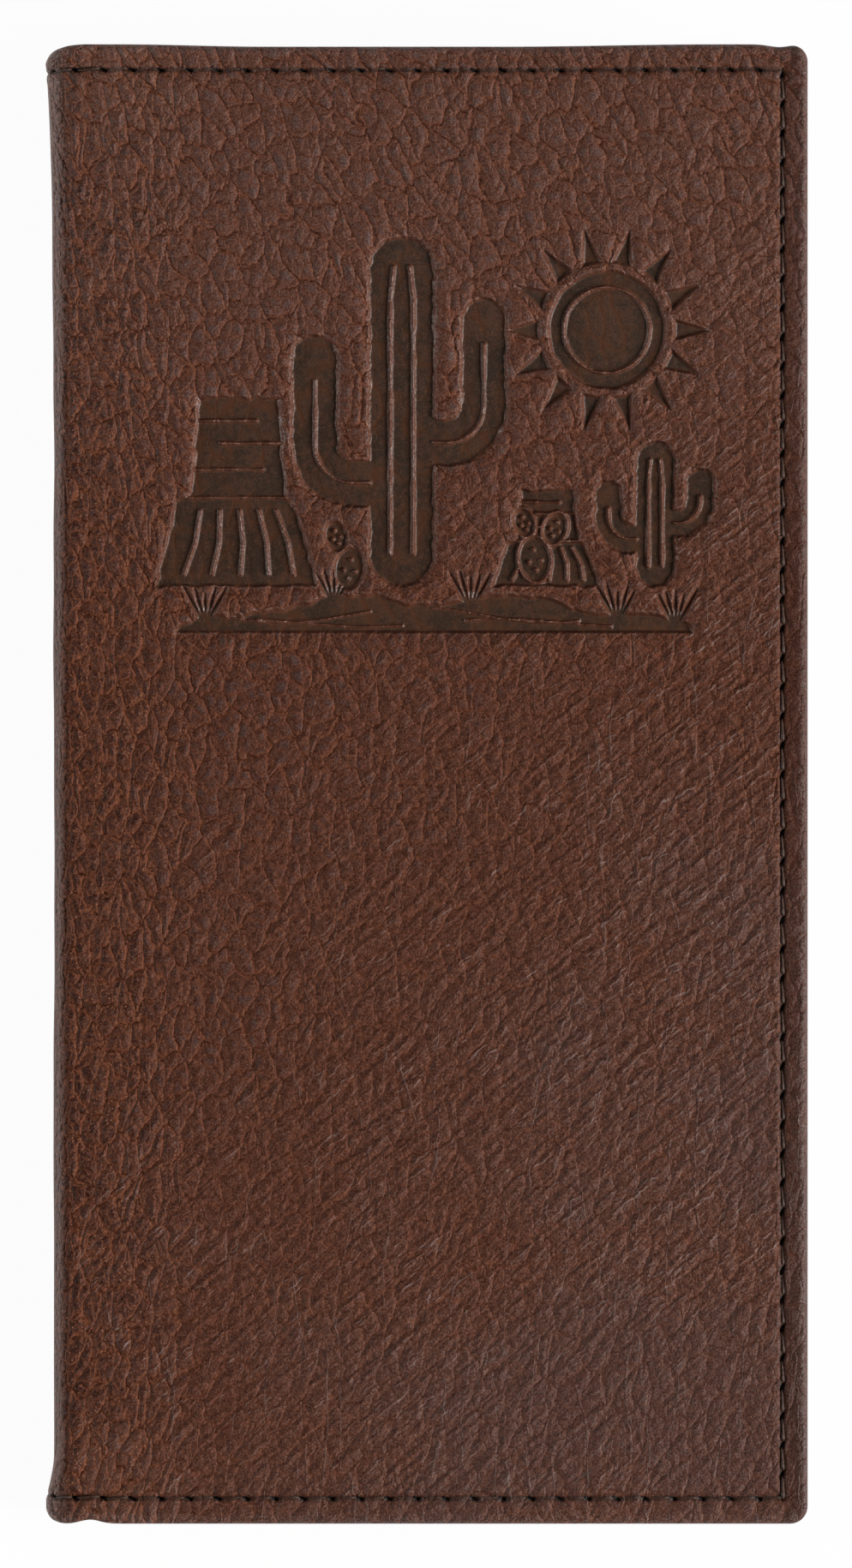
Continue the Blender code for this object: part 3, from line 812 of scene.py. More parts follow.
def round_corner(x, y, corner_x, corner_y, toward_x, toward_y, fade=0.0):
    """Turns a square corner of the grid into a round one, or fades back to square further out."""
    a = (x - corner_x) * toward_x
    b = (y - corner_y) * toward_y
    inside = (a > 0) & (b > 0)
    reach = np.maximum(a, b)
    turn = np.arctan2(b, a)
    keep = np.where(inside, 1.0, 0.0)
    if fade:
        keep = keep * (1 - smooth(reach, fade, 3 * fade))
    x = x + keep * (corner_x + toward_x * reach * np.cos(turn) - x)
    y = y + keep * (corner_y + toward_y * reach * np.sin(turn) - y)
    return x, y


def inner_sheet(node, half, material, corners=(SHEET_CORNER,) * 2, crease_x=(), crease_y=(), window=None):
    """A leather sheet in the place of a CAD node: rolled edges, pressed creases, a soft uneven face.

    corners are its radii at the left and at the right. window is (left, right, low, high) of an opening,
    which brings a thumb notch in the edge above it.
    """
    left_corner, right_corner = corners
    low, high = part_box(node)
    thick = high.z - low.z
    roll = [thick / 2 * (1 - math.cos(math.radians(turn))) for turn in (0, 30, 60, 90)]
    left_turn, right_turn, window_turn = (
        [radius * share for share in (0.25, 0.5, 0.75, 1.0)] for radius in (*corners, WINDOW_CORNER)
    )
    details_x = from_ends(low.x, high.x, roll + left_turn, roll + right_turn)
    details_y = from_ends(low.y, high.y, roll + right_turn, roll + right_turn)
    groove = (-0.0005, -0.0002, 0.0, 0.0002, 0.0005)
    details_x += [line + g for line in crease_x for g in groove]
    details_y += [line + g for line in crease_y for g in groove]
    if window:
        left, right, bottom, top = window
        around = [-q for q in roll] + window_turn
        details_x += from_ends(left, right, around, around)
        details_y += from_ends(bottom, top, around, around)
        middle = (low.x + high.x) / 2
        details_x += [middle + NOTCH_RADIUS * math.sin(math.radians(turn)) for turn in range(-90, 91, 10)]
    columns = stops(low.x, high.x, SHEET_SQUARE, details_x)
    rows = stops(low.y, high.y, SHEET_SQUARE, details_y)
    grid_x, grid_y = np.meshgrid(columns, rows, indexing="ij")
    x, y = grid_x, grid_y
    rim = np.minimum(np.minimum(x - low.x, high.x - x), np.minimum(y - low.y, high.y - y))
    used = np.ones((x.shape[0] - 1, x.shape[1] - 1), bool)
    if window:
        middle_x = (x[:-1, :-1] + x[1:, 1:]) / 2
        middle_y = (y[:-1, :-1] + y[1:, 1:]) / 2
        used = (middle_x < left) | (middle_x > right) | (middle_y < bottom) | (middle_y > top)
        outside = np.maximum(np.maximum(left - x, x - right), np.maximum(bottom - y, y - top))
        rim = np.where(outside > -TOUCHING, np.minimum(rim, np.clip(outside, 0, None)), rim)
        for cx, tx in ((left + WINDOW_CORNER, -1), (right - WINDOW_CORNER, 1)):
            for cy, ty in ((bottom + WINDOW_CORNER, -1), (top - WINDOW_CORNER, 1)):
                x, y = round_corner(x, y, cx, cy, tx, ty, WINDOW_CORNER)
    ends = ((low.x + left_corner, -1, left_corner), (high.x - right_corner, 1, right_corner))
    for cx, tx, radius in ends:
        for cy, ty in ((low.y + radius, -1), (high.y - radius, 1)):
            x, y = round_corner(x, y, cx, cy, tx, ty)
    if window:
        reach = np.sqrt(np.clip(NOTCH_RADIUS ** 2 - (x - middle) ** 2, 0, None))
        cut = np.clip(reach - (NOTCH_RADIUS - NOTCH_DEPTH), 0, None)
        y = y - cut * smooth(grid_y, top + 0.004, high.y)
    height = thick / 2 * np.sqrt(np.clip(1 - np.clip(1 - rim / (thick / 2), 0, 1) ** 2, 0, 1))
    worn = np.zeros(x.shape)
    for grid, creases in ((grid_x, crease_x), (grid_y, crease_y)):
        for line in creases:
            worn = worn + bump(grid, line, CREASE_HALF)
    seed = sum(node.encode())
    sag = SHEET_SAG * (1 + waves(x, y, 0.013, seed)) + CREASE_DEPTH * worn
    face = height - sag * smooth(rim, thick / 2, 0.0015)
    inward = 1 if half == "back" else -1
    middle_z = (low.z + high.z) / 2
    number = np.arange(x.size).reshape(x.shape)
    faces = grid_faces(number, inward < 0, used)
    faces += grid_faces(np.where(rim < TOUCHING, number, number + x.size), inward > 0, used)
    sides = (middle_z + inward * face, middle_z - inward * height)
    points = np.concatenate([np.column_stack((x.ravel(), y.ravel(), z.ravel())) for z in sides])

    # Points that no face uses are left out
    faces = np.array(faces)
    kept = np.zeros(len(points), bool)
    kept[faces] = True
    faces = (np.cumsum(kept) - 1)[faces].tolist()
    values = {
        "laid_flat": (points[:, :2] * 1000 + (seed, 3 * seed))[kept],
        "rim": np.tile(rim.ravel(), 2)[kept] * 1000,
        "worn": np.tile(worn.ravel(), 2)[kept],
    }
    piece = add_piece(node + "_leather", points[kept], faces, material, values)
    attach(piece, half + "_half")
    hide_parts(node)


def window_shape():
    """The opening in the window's frame: left, right, low, high."""
    low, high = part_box("id_window_sheet")
    return low.x + WINDOW_MARGIN, high.x - WINDOW_MARGIN, low.y + WINDOW_MARGIN, high.y - WINDOW_MARGIN


def inner_stitches(half, material, sheets, runs):
    """Straight runs of stitches on the sheets inside. A run is (start, end) on the half's inner face."""
    boxes = [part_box(node) for node in sheets]
    inward = 1 if half == "back" else -1

    def surface(x, y):
        under = [box for box in boxes if box[0].x < x < box[1].x and box[0].y < y < box[1].y]
        return inward * max(inward * (high.z if inward > 0 else low.z) for low, high in under)

    tubes = []
    random = np.random.default_rng(7 if half == "front" else 8)
    for start, end in runs:
        start = np.array(start)
        end = np.array(end)
        length = np.linalg.norm(end - start)
        count = round(length / INNER_PITCH)
        way = (end - start) / length
        for stitch in range(count):
            path = []
            for share, rise in INNER_STITCH:
                x, y = start + way * (stitch + share) * length / count
                path.append((x, y, surface(x, y) + inward * rise * 0.001))
            tubes.append((path, INNER_THREAD * random.uniform(0.95, 1.05)))
    piece = tubes_piece(half + "_inner_stitches", tubes, material)
    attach(piece, half + "_half")


def lining_half(half, material):
    """Twill lining of one half, from the middle of the spine to the fore edge, over the turned edges."""
    low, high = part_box(half + "_lining")
    end_flat = FLAT_START + high.x - (SPINE_X + BEND_RADIUS)
    depth = HEM_DEPTH + GLUE_GAP
    thick = high.z - low.z
    details = [SPINE_HALF, FLAT_START] + [SPINE_HALF + BEND_LENGTH * k / 8 for k in range(9)]
    columns = stops(0.0, end_flat, LINING_SQUARE, details)
    flat, across = np.meshgrid(columns, stops(low.y, high.y, LINING_SQUARE, []), indexing="ij")
    number = np.arange(flat.size).reshape(flat.shape)
    flat = flat.ravel()
    across = across.ravel()
    count = len(flat)
    spine_depth = depth - SPINE_TUCK
    outer = spine_depth + (depth - spine_depth) * smooth(flat, FLAT_START, FLAT_START + 0.003)
    points = np.concatenate((place(flat, across, outer, half), place(flat, across, outer + thick, half)))
    faces = grid_faces(number, False) + grid_faces(number + count, True)
    rim = np.concatenate((number[:, 0], number[-1, 1:], number[-2::-1, -1], number[0, -2::-1]))
    faces += np.column_stack((rim[1:], rim[:-1], rim[:-1] + count, rim[1:] + count)).tolist()
    if half == "back":
        faces = [tuple(reversed(face)) for face in faces]
    sign = 1000 if half == "front" else -1000
    laid = np.column_stack((flat * sign, across * 1000))
    values = {"laid_flat": np.concatenate((laid, laid))}
    piece = add_piece(half + "_lining_cloth", points, faces, material, values)
    for face in piece.data.polygons[1 - len(rim):]:
        face.use_smooth = False
    width = end_flat - BEND_LENGTH + (BEND_RADIUS - depth) * math.pi / 2
    nodes = {"front": ("front_lining", "spine_lining"), "back": ("back_lining",)}[half]
    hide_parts(*nodes)
    return piece


# Materials


class Value:
    """Something that a material works out at each point. It adds and multiplies like a number."""

    def __init__(self, nodes, socket):
        self.nodes = nodes
        self.socket = socket

    def __add__(self, other):
        return self.nodes.math("ADD", self, other)

    def __mul__(self, other):
        return self.nodes.math("MULTIPLY", self, other)

    def __sub__(self, other):
        return self.nodes.math("SUBTRACT", self, other)

    def __rsub__(self, other):
        return self.nodes.math("SUBTRACT", other, self)

    def __abs__(self):
        return self.nodes.math("ABSOLUTE", self)

    def step(self, low, high, start=0.0, end=1.0):
        """A smooth step from start at low to end at high. low can be the larger of the two."""
        inputs = {"Value": self, "From Min": low, "From Max": high, "To Min": start, "To Max": end}
        return self.nodes.value("ShaderNodeMapRange", inputs, interpolation_type="SMOOTHSTEP")


class Nodes:
    """Short calls for a material's node tree. Numbers, colours and values can all be given as inputs."""

    def __init__(self, name):
        self.material = bpy.data.materials.new(name)
        self.material.use_nodes = True
        self.tree = self.material.node_tree
        self.shader = self.tree.nodes["Principled BSDF"]

    def set(self, socket, value):
        if isinstance(value, Value):
            value = value.socket
        if isinstance(value, bpy.types.NodeSocket):
            self.tree.links.new(value, socket)
        elif isinstance(value, tuple) and socket.type == "RGBA":
            socket.default_value = (*value, 1)
        else:
            socket.default_value = value

    def add(self, kind, inputs=(), **settings):
        node = self.tree.nodes.new(kind)
        for name, setting in settings.items():
            setattr(node, name, setting)
        for key, given in dict(inputs).items():
            self.set(node.inputs[key], given)
        return node

    def value(self, kind, inputs=(), output=0, **settings):
        return Value(self, self.add(kind, inputs, **settings).outputs[output])

    def math(self, operation, a, b=0.0):
        return self.value("ShaderNodeMath", {0: a, 1: b}, operation=operation)

    def most(self, a, b):
        return self.math("MAXIMUM", a, b)

    def least(self, a, b):
        return self.math("MINIMUM", a, b)

    def vector(self, operation, a, b):
        return self.value("ShaderNodeVectorMath", {0: a, 1: b}, operation=operation)

    def stretch(self, place, x, y, z=1.0):
        return self.vector("MULTIPLY", place, (x, y, z))

    def shift(self, place, x, y):
        return self.vector("ADD", place, (x, y, 0.0))

    def warp(self, place, scale, amount):
        """The same place, pushed about by noise."""
        inputs = {"Vector": place, "Scale": scale, "Detail": 1.0}
        noise = self.value("ShaderNodeTexNoise", inputs, "Color", noise_dimensions="2D")
        push = self.vector("SUBTRACT", noise, (0.5, 0.5, 0.5))
        return self.vector("ADD", place, self.stretch(push, amount, amount, amount))

    def split(self, place):
        parts = self.add("ShaderNodeSeparateXYZ", {0: place}).outputs
        return Value(self, parts[0]), Value(self, parts[1])

    def mix(self, share, a, b):
        return self.value("ShaderNodeMix", {0: share, 6: a, 7: b}, 2, data_type="RGBA")

    def layers(self, colour, *layers):
        """Lays (share, colour) layers over a colour, one after another."""
        for share, tint in layers:
            colour = self.mix(share, colour, tint)
        return colour

    def noise(self, place, scale=1.0, detail=1.0, rough=0.5, kind="2D"):
        inputs = {"Vector": place, "Scale": scale, "Detail": detail, "Roughness": rough}
        return self.value("ShaderNodeTexNoise", inputs, "Fac", noise_dimensions=kind)

    def cells(self, place, scale=1.0, feature="DISTANCE_TO_EDGE"):
        inputs = {"Vector": place, "Scale": scale}
        settings = {"feature": feature, "voronoi_dimensions": "2D"}
        return self.value("ShaderNodeTexVoronoi", inputs, "Distance", **settings)

    def stored(self, name, output="Vector"):
        return self.value("ShaderNodeAttribute", (), output, attribute_name=name)

    def object_place(self, scale):
        place = self.value("ShaderNodeTexCoord", (), "Object")
        return self.stretch(place, scale, scale, scale)

    def bump(self, height, distance=0.001):
        inputs = {"Height": height, "Distance": distance, "Strength": 1.0}
        self.shade({"Normal": self.value("ShaderNodeBump", inputs)})

    def shade(self, inputs):
        for name, given in inputs.items():
            self.set(self.shader.inputs[name], given)


def cover_material():
    """Pull-up leather: rust veins round grey-brown pebbles, specks, and wrinkles at the lower right."""
    n = Nodes("cover_leather_grain")
    laid = n.stored("laid_flat")
    press = n.stored("press", "Fac")
    x, y = n.split(laid)
    broad = n.noise(laid, 0.045, 2.0)
    patch = n.noise(laid, 0.20)
    clouds = n.noise(laid, 1.10, 2.0, 0.70)
    specks = n.noise(n.stretch(laid, 4.3, 3.8), 1.0, 2.0, 0.80)

    # Places are millimetres from the spine's middle or past an edge. low marks the wrinkled lower right
    slope = x * 0.0115 + y * -0.0085 + broad * 0.9
    low = slope.step(0.55, 1.35)
    aside = abs(x)
    past_end = abs(y) - SURFACE_V * 1000
    past_edge = n.most(aside - SURFACE_U * 1000, past_end)
    creased = low * past_edge.step(-4.4, -3.4, 1.0, 0.35) * slope.step(1.85, 2.30, 1.0, 0.45)
    by_spine = aside.step(30.0, 13.0)
    on_bend = aside.step(10.8, 9.0)
    spine_end = by_spine * past_end.step(-18.0, -5.0)

    # Veins crowd together by the spine, and lean to the left at the top and to the right at the bottom
    crowded = n.math("SIGN", x) * n.least(aside, 24.0) * 0.12
    vein_across = x * 0.35 + crowded + y * y * 0.00070
    vein_place = n.value("ShaderNodeCombineXYZ", {0: vein_across, 1: y * 0.250})
    vein_place = n.warp(n.warp(vein_place, 0.60, 1.00), 2.2, 0.34)
    small_fuzz = specks * 0.04 - 0.02
    fuzz = specks * 0.10 + clouds * 0.12 - 0.11
    vein = n.cells(vein_place)
    beside = n.cells(n.shift(vein_place, 0.015, 0.0))
    upright = abs(beside - vein) * (1 / 0.015)
    fuzzy_vein = vein + fuzz
    vein = vein + small_fuzz
    pebble_place = n.warp(laid, 0.70, 0.70)
    knob = n.cells(n.stretch(pebble_place, 0.55, 1.30)) + small_fuzz
    pebble = n.cells(n.stretch(pebble_place, 0.66, 0.54))
    fuzzy_pebble = pebble + fuzz
    pebble = pebble + small_fuzz

    strong = patch.step(0.34, 0.58, 0.75, 1.0) * (1.0 - low * 0.40)
    strong = n.least(strong + by_spine * 0.5, 1.0)
    strong = strong * upright.step(0.30, 0.90, 0.85, 1.0) * aside.step(8.6, 10.8, 0.45, 1.0)
    clear = patch.step(0.66, 0.44, 0.60, 1.0) * (1.0 - low * 0.30)
    clear = n.most(clear, by_spine * 0.90)
    # Painted shade in the veins' grooves
    vein_core_shade = vein.step(0.065, 0.012) * strong * clouds.step(0.64, 0.44)
    ring = fuzzy_pebble.step(0.120, 0.025) * clear * (by_spine * 0.25 + 0.45)
    bank = n.most(fuzzy_vein.step(0.150, 0.035) * strong, ring)
    # Painted shade in the grooves round the pebbles
    outline = pebble.step(0.045, 0.006) * clear * clouds.step(0.60, 0.40)
    dots = n.cells(laid, 1.15, "F1").step(0.15, 0.06)
    dots = dots * n.noise(laid, 0.24).step(0.42, 0.60) * (by_spine * 0.6 + 0.4)

    # Wrinkles rise to the right, with fine ridges on them, and a few long creases run up the right side
    turn = {"Vector": pebble_place, "Angle": math.radians(-40)}
    turned = n.value("ShaderNodeVectorRotate", turn, rotation_type="Z_AXIS")
    wrinkle = n.noise(n.stretch(turned, 0.13, 0.95))
    ridge = n.noise(n.stretch(turned, 0.50, 2.40))
    next_ridge = n.noise(n.stretch(n.shift(turned, 0.0, 0.12), 0.50, 2.40))
    # Painted highlight on the steep ridge flanks that face the lamp
    painted_ridge_highlight = (next_ridge - ridge).step(0.10, 0.20) * wrinkle.step(0.46, 0.60) * creased
    long_wave = n.noise(n.stretch(pebble_place, 0.20, 0.035))
    next_wave = n.noise(n.stretch(n.shift(pebble_place, 0.5, 0.0), 0.20, 0.035))
    steep = abs(next_wave - long_wave).step(0.012, 0.035)
    crease = abs(long_wave - 0.5).step(0.014, 0.003) * low * steep

    grey = fuzzy_pebble.step(0.10, 0.34) * n.noise(laid, 0.55).step(0.40, 0.58)
    shade = by_spine * patch.step(0.70, 0.40) * clouds.step(0.60, 0.44) * (1.0 - spine_end * 0.60)
    # Painted shade: a dark strip just past the spine's bend, where the leather slopes away from the lamps
    painted_fold_shade = aside.step(9.3, 10.6) * aside.step(12.6, 11.2)
    # Strength of the painted ridge highlight: in patches, and more towards the fore edge
    worn = n.most(patch.step(0.44, 0.66, 0.15, 0.75), aside.step(60.0, 84.0, 0.0, 0.70))
    # Painted sheen: greyer towards the lower right
    painted_sheen = slope.step(1.30, 2.10) * broad.step(0.30, 0.60)
    fore_edge = SURFACE_U * 1000
    colour = n.layers(
        n.mix(clouds.step(0.36, 0.64), (0.0620, 0.0192, 0.0096), (0.1100, 0.0362, 0.0186)),
        (grey * (0.80 - n.most(by_spine, low) * 0.74), (0.0700, 0.0420, 0.0380)),
        (y.step(15.0, 75.0, 0.0, 0.22), (0.1500, 0.0560, 0.0320)),
        (shade * 0.95, (0.0380, 0.0090, 0.0036)),
        (spine_end * 0.45, (0.1600, 0.0700, 0.0460)),
        # Painted shade on the strip past the spine's bend
        (painted_fold_shade * clouds.step(0.66, 0.40, 0.35, 0.75), (0.0350, 0.0085, 0.0035)),
        (bank * (by_spine * 0.36 + 0.56), (0.2180, 0.0700, 0.0320)),
        # Painted shade in the grooves round the pebbles
        (outline * 0.82, (0.0380, 0.0085, 0.0036)),
        (specks.step(0.50, 0.66) * 0.28, (0.2100, 0.1050, 0.0780)),
        (specks.step(0.50, 0.34) * 0.42, (0.0420, 0.0085, 0.0036)),
        # Painted shade in the veins' grooves
        (vein_core_shade * 0.88, (0.0270, 0.0060, 0.0027)),
        # Painted highlight on the ridge flanks facing the lamp
        (painted_ridge_highlight * worn, (0.2200, 0.1500, 0.1320)),
        # Painted highlight: a pale line on the long creases' crests
        (crease * patch.step(0.50, 0.66, 0.0, 0.40), (0.1900, 0.1200, 0.1000)),
        (dots * 0.70, (0.3400, 0.1400, 0.0700)),
        # Painted shade in the grooves round the knobs on the spine's bend
        (knob.step(0.14, 0.02) * on_bend * 0.50, (0.0300, 0.0120, 0.0080)),
        # Painted sheen towards the lower right
        (painted_sheen * 0.30, (0.0600, 0.0330, 0.0280)),
        (aside.step(fore_edge - 4.6, fore_edge - 2.2) * 0.60, (0.0420, 0.0125, 0.0065)),
    )

    # Pressed leather is dark, with faint rust clouds and veins, and rubbed where it rises again
    pressed = press.step(0.12, -0.12)
    wall = press.step(-0.30, 0.02) * press.step(0.60, 0.02)
    stain = clouds * 0.60 + patch * 0.40
    floor_colour = n.layers(
        n.mix(stain.step(0.38, 0.62), (0.0370, 0.0225, 0.0150), (0.0680, 0.0310, 0.0180)),
        (specks.step(0.50, 0.70) * 0.25, (0.0900, 0.0380, 0.0220)),
        (bank * patch.step(0.40, 0.60, 0.10, 0.50), (0.0950, 0.0340, 0.0150)),
        (dots * 0.65, (0.2300, 0.1000, 0.0500)),
    )

    # The seam's slot is painted with shade, and each hole with black painted shadow
    phase, off_seam = n.split(n.stored("seam"))
    phase = n.math("FRACT", phase)
    off_line = abs(off_seam - (phase * 0.26 - 0.13))
    along_hole = phase * 6.6 - 1.10
    across_hole = (off_seam + phase * 1.3 - 0.22) * 4.2
    hole = n.math("SQRT", along_hole * along_hole + across_hole * across_hole)
    colour = n.layers(
        colour,
        (pressed, floor_colour),
        (wall * 0.55, (0.1200, 0.0400, 0.0200)),
        (off_line.step(0.16, 0.44, 0.65, 0.0), (0.0220, 0.0100, 0.0060)),
        (hole.step(0.80, 1.15, 0.97, 0.0), (0.0025, 0.0018, 0.0016)),
    )

    # Relief, in millimetres
    vein_relief = (vein.step(0.0, 0.12) * 0.140 + vein.step(0.0, 0.42) * 0.220) * strong
    pebble_relief = (pebble.step(0.0, 0.12) * 0.045 + pebble.step(0.0, 0.42) * 0.070) * clear
    height = vein_relief * (by_spine * 0.6 + 1.0) + pebble_relief * (by_spine * 0.9 + 1.0)
    height = height + (wrinkle * 0.50 + ridge * 0.08) * creased + dots * 0.025 + crease * 0.070
    height = height + clouds * 0.05 + knob.step(0.0, 0.40) * on_bend * 0.22
    height = height * press.step(-0.15, 0.35, 0.12, 1.0)
    height = height + specks * press.step(-0.15, 0.35, 0.012, 0.045)
    n.bump(height + n.noise(laid, 7.5) * press.step(-0.15, 0.35, 0.012, 0.050))

    # Polish: pressed walls, the rolled edges and the spine's bend shine most
    rough = specks.step(0.3, 0.7, 0.48, 0.60) - low * 0.03 - wall * 0.12 - pressed * 0.05
    polish = y.step(10.0, 75.0, 0.09, 0.23) + slope.step(1.15, 2.00, 0.0, 0.15)
    polish = polish * (1.0 - n.most(bank, outline) * 0.60)
    polish = polish + n.most(wall, past_edge.step(-2.2, -1.0) * 0.50) * 0.45
    polish = polish * specks.step(0.34, 0.66, 0.3, 1.7) + aside.step(10.4, 7.6, 0.0, 0.48)
    n.shade({"Base Color": colour, "Roughness": rough, "Specular IOR Level": polish})
    return n.material


def thread_material():
    """Waxed thread: brown, with a painted pale highlight where it stands highest and painted black shade
    where it goes down its hole.
    """
    n = Nodes("waxed_thread")
    place = n.object_place(1.0)
    sunk = n.stored("sunk", "Fac")
    fibre = n.noise(place, 4200.0, 2.0, 0.5, "3D")
    colour = n.layers(
        n.mix(fibre.step(0.35, 0.65), (0.026, 0.012, 0.008), (0.068, 0.031, 0.020)),
        # Painted highlight where the thread stands highest
        (sunk.step(0.31, 0.24) * sunk.step(0.05, 0.15) * 0.3, (0.110, 0.080, 0.068)),
        # Painted shade where the thread goes down into its hole
        (sunk.step(0.42, 0.64), (0.008, 0.005, 0.004)),
    )
    n.bump(n.noise(place, 3800.0, 2.0, 0.5, "3D"), 0.00005)
    n.shade({"Base Color": colour, "Roughness": 0.55, "Specular IOR Level": 0.25})
    return n.material


def pocket_material():
    """Thin brown leather: fine pebbles, burnished darker along edges and creases."""
    n = Nodes("pocket_leather_grain")
    laid = n.stored("laid_flat")
    pebble = n.cells(n.warp(laid, 0.9, 0.5), 1.15)
    fleck = n.noise(laid, 3.2, 2.0, 0.6)
    cloud = n.noise(laid, 0.09, 2.0)
    edge = n.most(n.stored("rim", "Fac").step(0.75, 0.20), n.stored("worn", "Fac") * 0.85)
    colour = n.layers(
        n.mix(cloud.step(0.30, 0.70), (0.074, 0.0295, 0.0175), (0.088, 0.0345, 0.0190)),
        (pebble.step(0.13, 0.0) * 0.55, (0.036, 0.0160, 0.0105)),
        (fleck.step(0.55, 0.75) * 0.35, (0.140, 0.0520, 0.0260)),
        (edge * 0.75, (0.022, 0.0105, 0.0075)),
    )
    n.bump(pebble.step(0.0, 0.30) * 0.035 + fleck * 0.030)
    rough = fleck.step(0.3, 0.7, 0.46, 0.58) - edge * 0.12
    n.shade({"Base Color": colour, "Roughness": rough, "Specular IOR Level": 0.40})
    return n.material


def twill_material():
    """Dark brown twill: diagonal ribs of fine yarn."""
    n = Nodes("lining_twill")
    laid = n.stored("laid_flat")
    x, y = n.split(n.warp(laid, 0.5, 0.10))
    rib = n.math("SINE", (y * 0.9 + x) * (2 * math.pi / 0.62))
    yarn = n.math("SINE", y * (2 * math.pi / 0.36))
    weave = n.most(rib, -0.4) * 0.6 + yarn * 0.4
    slub = n.noise(n.stretch(laid, 0.5, 2.5), 1.0, 2.0)
    colour = n.mix(weave.step(-0.7, 0.7), (0.016, 0.0100, 0.0080), (0.060, 0.0370, 0.0280))
    colour = n.mix(slub.step(0.45, 0.75) * 0.35, colour, (0.085, 0.055, 0.042))
    n.bump(weave * 0.035)
    n.shade({"Base Color": colour, "Roughness": 0.85})
    n.shade({"Specular IOR Level": 0.20, "Sheen Weight": 0.01})
    return n.material


def board_material():
    """Pressed fibre board: pale brown with short fibres."""
    n = Nodes("fibre_board_grey")
    fibre = n.noise(n.stretch(n.object_place(1000.0), 2.2, 0.6), 1.0, 3.0, 0.7, "3D")
    colour = n.mix(fibre.step(0.35, 0.65), (0.235, 0.175, 0.120), (0.345, 0.270, 0.190))
    n.bump(fibre * 0.05)
    n.shade({"Base Color": colour, "Roughness": 0.9})
    return n.material


def vinyl_material():
    """Clear flexible vinyl, faintly wavy and with fine scuffs."""
    n = Nodes("clear_vinyl_sheet")
    place = n.object_place(1000.0)
    scuff = n.noise(n.stretch(place, 0.3, 4.0), 1.0, 2.0, 0.5, "3D")
    n.bump(n.noise(place, 0.08, 1.0, 0.5, "3D") * 0.5)
    n.shade({"Base Color": (0.93, 0.95, 0.95), "Roughness": scuff.step(0.45, 0.80, 0.05, 0.22)})
    n.shade({"Transmission Weight": 1.0, "IOR": 1.40})
    return n.material


def floor_material():
    """A pale floor that shows white to the camera, and keeps the object's shadow."""
    n = Nodes("pale_floor")
    n.shade({"Base Color": (0.90, 0.90, 0.90), "Roughness": 0.9, "Specular IOR Level": 0.0})
    glow = n.value("ShaderNodeEmission", {"Color": (1.0, 1.0, 1.0), "Strength": 1.0})
    rays = n.add("ShaderNodeLightPath").outputs
    seen = [Value(n, rays[f"Is {ray} Ray"]) for ray in ("Camera", "Glossy", "Transmission")]
    share = n.least(seen[0] + seen[1] + seen[2], 1.0) * 0.96
    mixed = n.value("ShaderNodeMixShader", {0: share, 1: n.shader.outputs[0], 2: glow})
    n.set(n.tree.nodes["Material Output"].inputs["Surface"], mixed)
    return n.material


# Stage, lights and camera


def add_stage():
    """A pale floor just under the wallet, and dim light from all round."""
    corners = [(FLOOR_REACH * x, FLOOR_REACH * y, 0) for x, y in ((-1, -1), (1, -1), (1, 1), (-1, 1))]
    floor = add_piece("floor", corners, [(0, 1, 2, 3)], floor_material())
    floor.location.z = -FLOOR_DROP
    world = bpy.data.worlds.new("studio")
    bpy.context.scene.world = world
    world.use_nodes = True
    background = world.node_tree.nodes["Background"].inputs
    background["Color"].default_value = (1, 1, 1, 1)
    background["Strength"].default_value = ROOM_LIGHT


def add_light(name, place, size, power):
    lamp = bpy.data.lights.new(name, "AREA")
    lamp.shape = "RECTANGLE"
    lamp.size, lamp.size_y = size
    lamp.energy = power
    light = bpy.data.objects.new(name, lamp)
    light.location = place
    light.rotation_euler = (-Vector(place)).to_track_quat("-Z", "Y").to_euler()
    bpy.context.scene.collection.objects.link(light)


def add_camera():
    """Straight down over the middle of the wallet, from far enough to look flat."""
    camera = bpy.data.cameras.new("camera")
    camera.sensor_fit = "VERTICAL"
    camera.sensor_height = 24
    camera.lens = 180
    holder = bpy.data.objects.new("camera", camera)
    away = camera.lens / camera.sensor_height * (LENGTH * PHOTO_HEIGHT / PHOTO_WALLET)
    middle = (cad_low + cad_high) / 2
    holder.location = (middle.x, middle.y, cad_high.z + away)
    bpy.context.scene.collection.objects.link(holder)
    bpy.context.scene.camera = holder


def build():
    """The covers with their seams and linings, and then what is inside."""
    leather = cover_material()
    thread = thread_material()
    twill = twill_material()
    covers = {"front": ("front_cover", "spine_cover"), "back": ("back_cover",)}
    threads = {
        "front": ("front_seam_thread", "spine_top_thread", "spine_bottom_thread"),
        "back": ("back_seam_thread",),
    }
    for half in ("front", "back"):
        z = THICKNESS if half == "front" else 0.0
        toward = -1 if half == "front" else 1
        spine_end = (SPINE_X - BLEND_MARGIN, 0, z + toward * (BEND_RADIUS + BLEND_MARGIN))
        cover_end = (SPINE_X + BEND_RADIUS + BLEND_MARGIN, 0, z - toward * BLEND_MARGIN)
        hide = leather_half(half, leather)
        stitches = seam_stitches(half, thread)
        cloth = lining_half(half, twill)
        for piece in (hide, stitches, cloth):
            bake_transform(piece)
        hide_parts(*covers[half])
        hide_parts(*threads[half])
    build_inside(thread)


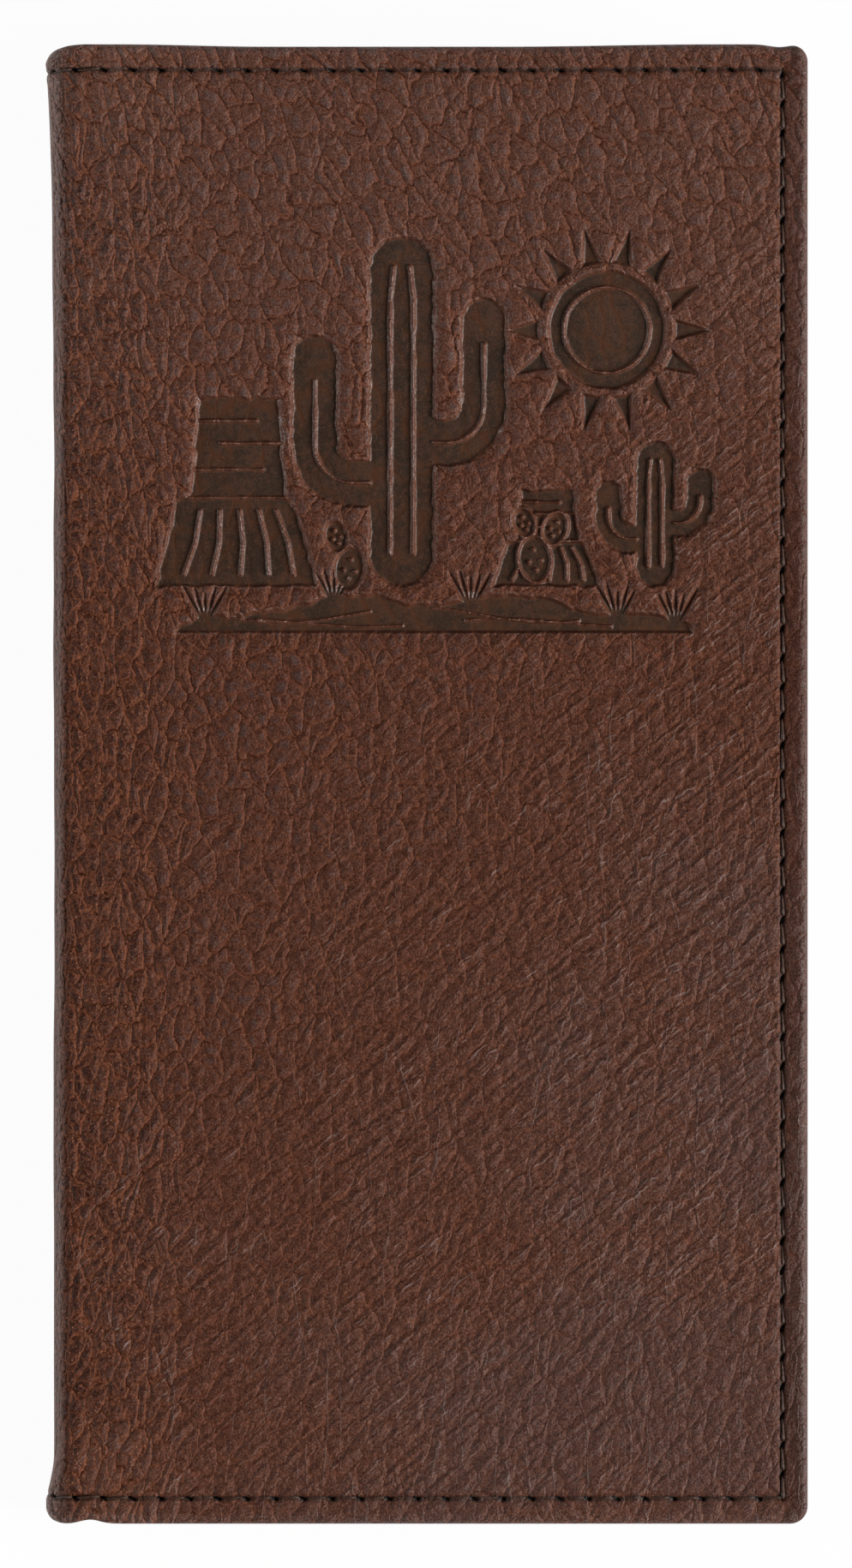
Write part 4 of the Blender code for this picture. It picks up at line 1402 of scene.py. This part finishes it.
def build_inside(thread):
    """The pockets, the window and their stitches. In a group of strips the CAD names the highest first."""
    pocket = pocket_material()
    fore_line = cad_high.x - SEAM_INSET
    end_line = HALF_LENGTH - SEAM_INSET
    for half, panel, strips in (("back", "checkbook_pocket_panel", 3), ("front", "bill_pocket_panel", 6)):
        names = [f"{half}_card_slot_{k + 1}" for k in range(strips)]
        panel_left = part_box(panel)[0].x
        gutter_line = panel_left + GUTTER_INSET
        corners = (GUTTER_CORNER, CORNER_RADIUS)
        inner_sheet(panel, half, pocket, corners, crease_x=[panel_left + CREASE_INSET])
        for name in names:
            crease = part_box(name)[1].y - CREASE_INSET
            inner_sheet(name, half, pocket, crease_y=[crease])
        runs = [((fore_line, end_line), (fore_line, -end_line))]
        for side in (1, -1):
            runs.append(((panel_left + GUTTER_END, side * end_line), (fore_line, side * end_line)))
        for first in range(0, strips, 3):
            group_low, group_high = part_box(names[first])
            bottom = max(group_low.y + FOOT_INSET, -end_line)
            runs.append(((gutter_line, group_high.y - TOP_INSET), (gutter_line, bottom)))
            if bottom > -end_line:
                runs.append(((gutter_line, bottom), (fore_line, bottom)))
        sheets = [panel] + names
        if half == "back":
            sheets.append("id_window_frame")
            frame_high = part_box("id_window_frame")[1]
            window = window_shape()
            inner_sheet("id_window_frame", half, pocket, window=window)
            left = window[0] - WINDOW_BORDER
            right = window[1] + WINDOW_BORDER
            top = window[3] + WINDOW_BORDER
            runs.append(((gutter_line, frame_high.y - TOP_INSET), (gutter_line, -end_line)))
            runs.append(((left, top), (right, top)))
            runs += [((x, top), (x, -end_line)) for x in (left, right)]
        inner_stitches(half, thread, sheets, runs)
    kept = {"id_window_sheet": vinyl_material()}
    kept |= dict.fromkeys(("front_board", "back_board", "spine_tape"), board_material())
    for node, material in kept.items():
        bpy.data.objects[node].material_slots[0].material = material


bpy.context.scene.view_settings.view_transform = "Standard"
build()
add_stage()
add_light("key", (1.55, -0.27, 0.77), (0.70, 0.70), 48.0)
add_light("side", (-0.85, 0.02, 0.15), (0.70, 0.22), 5.0)
add_camera()
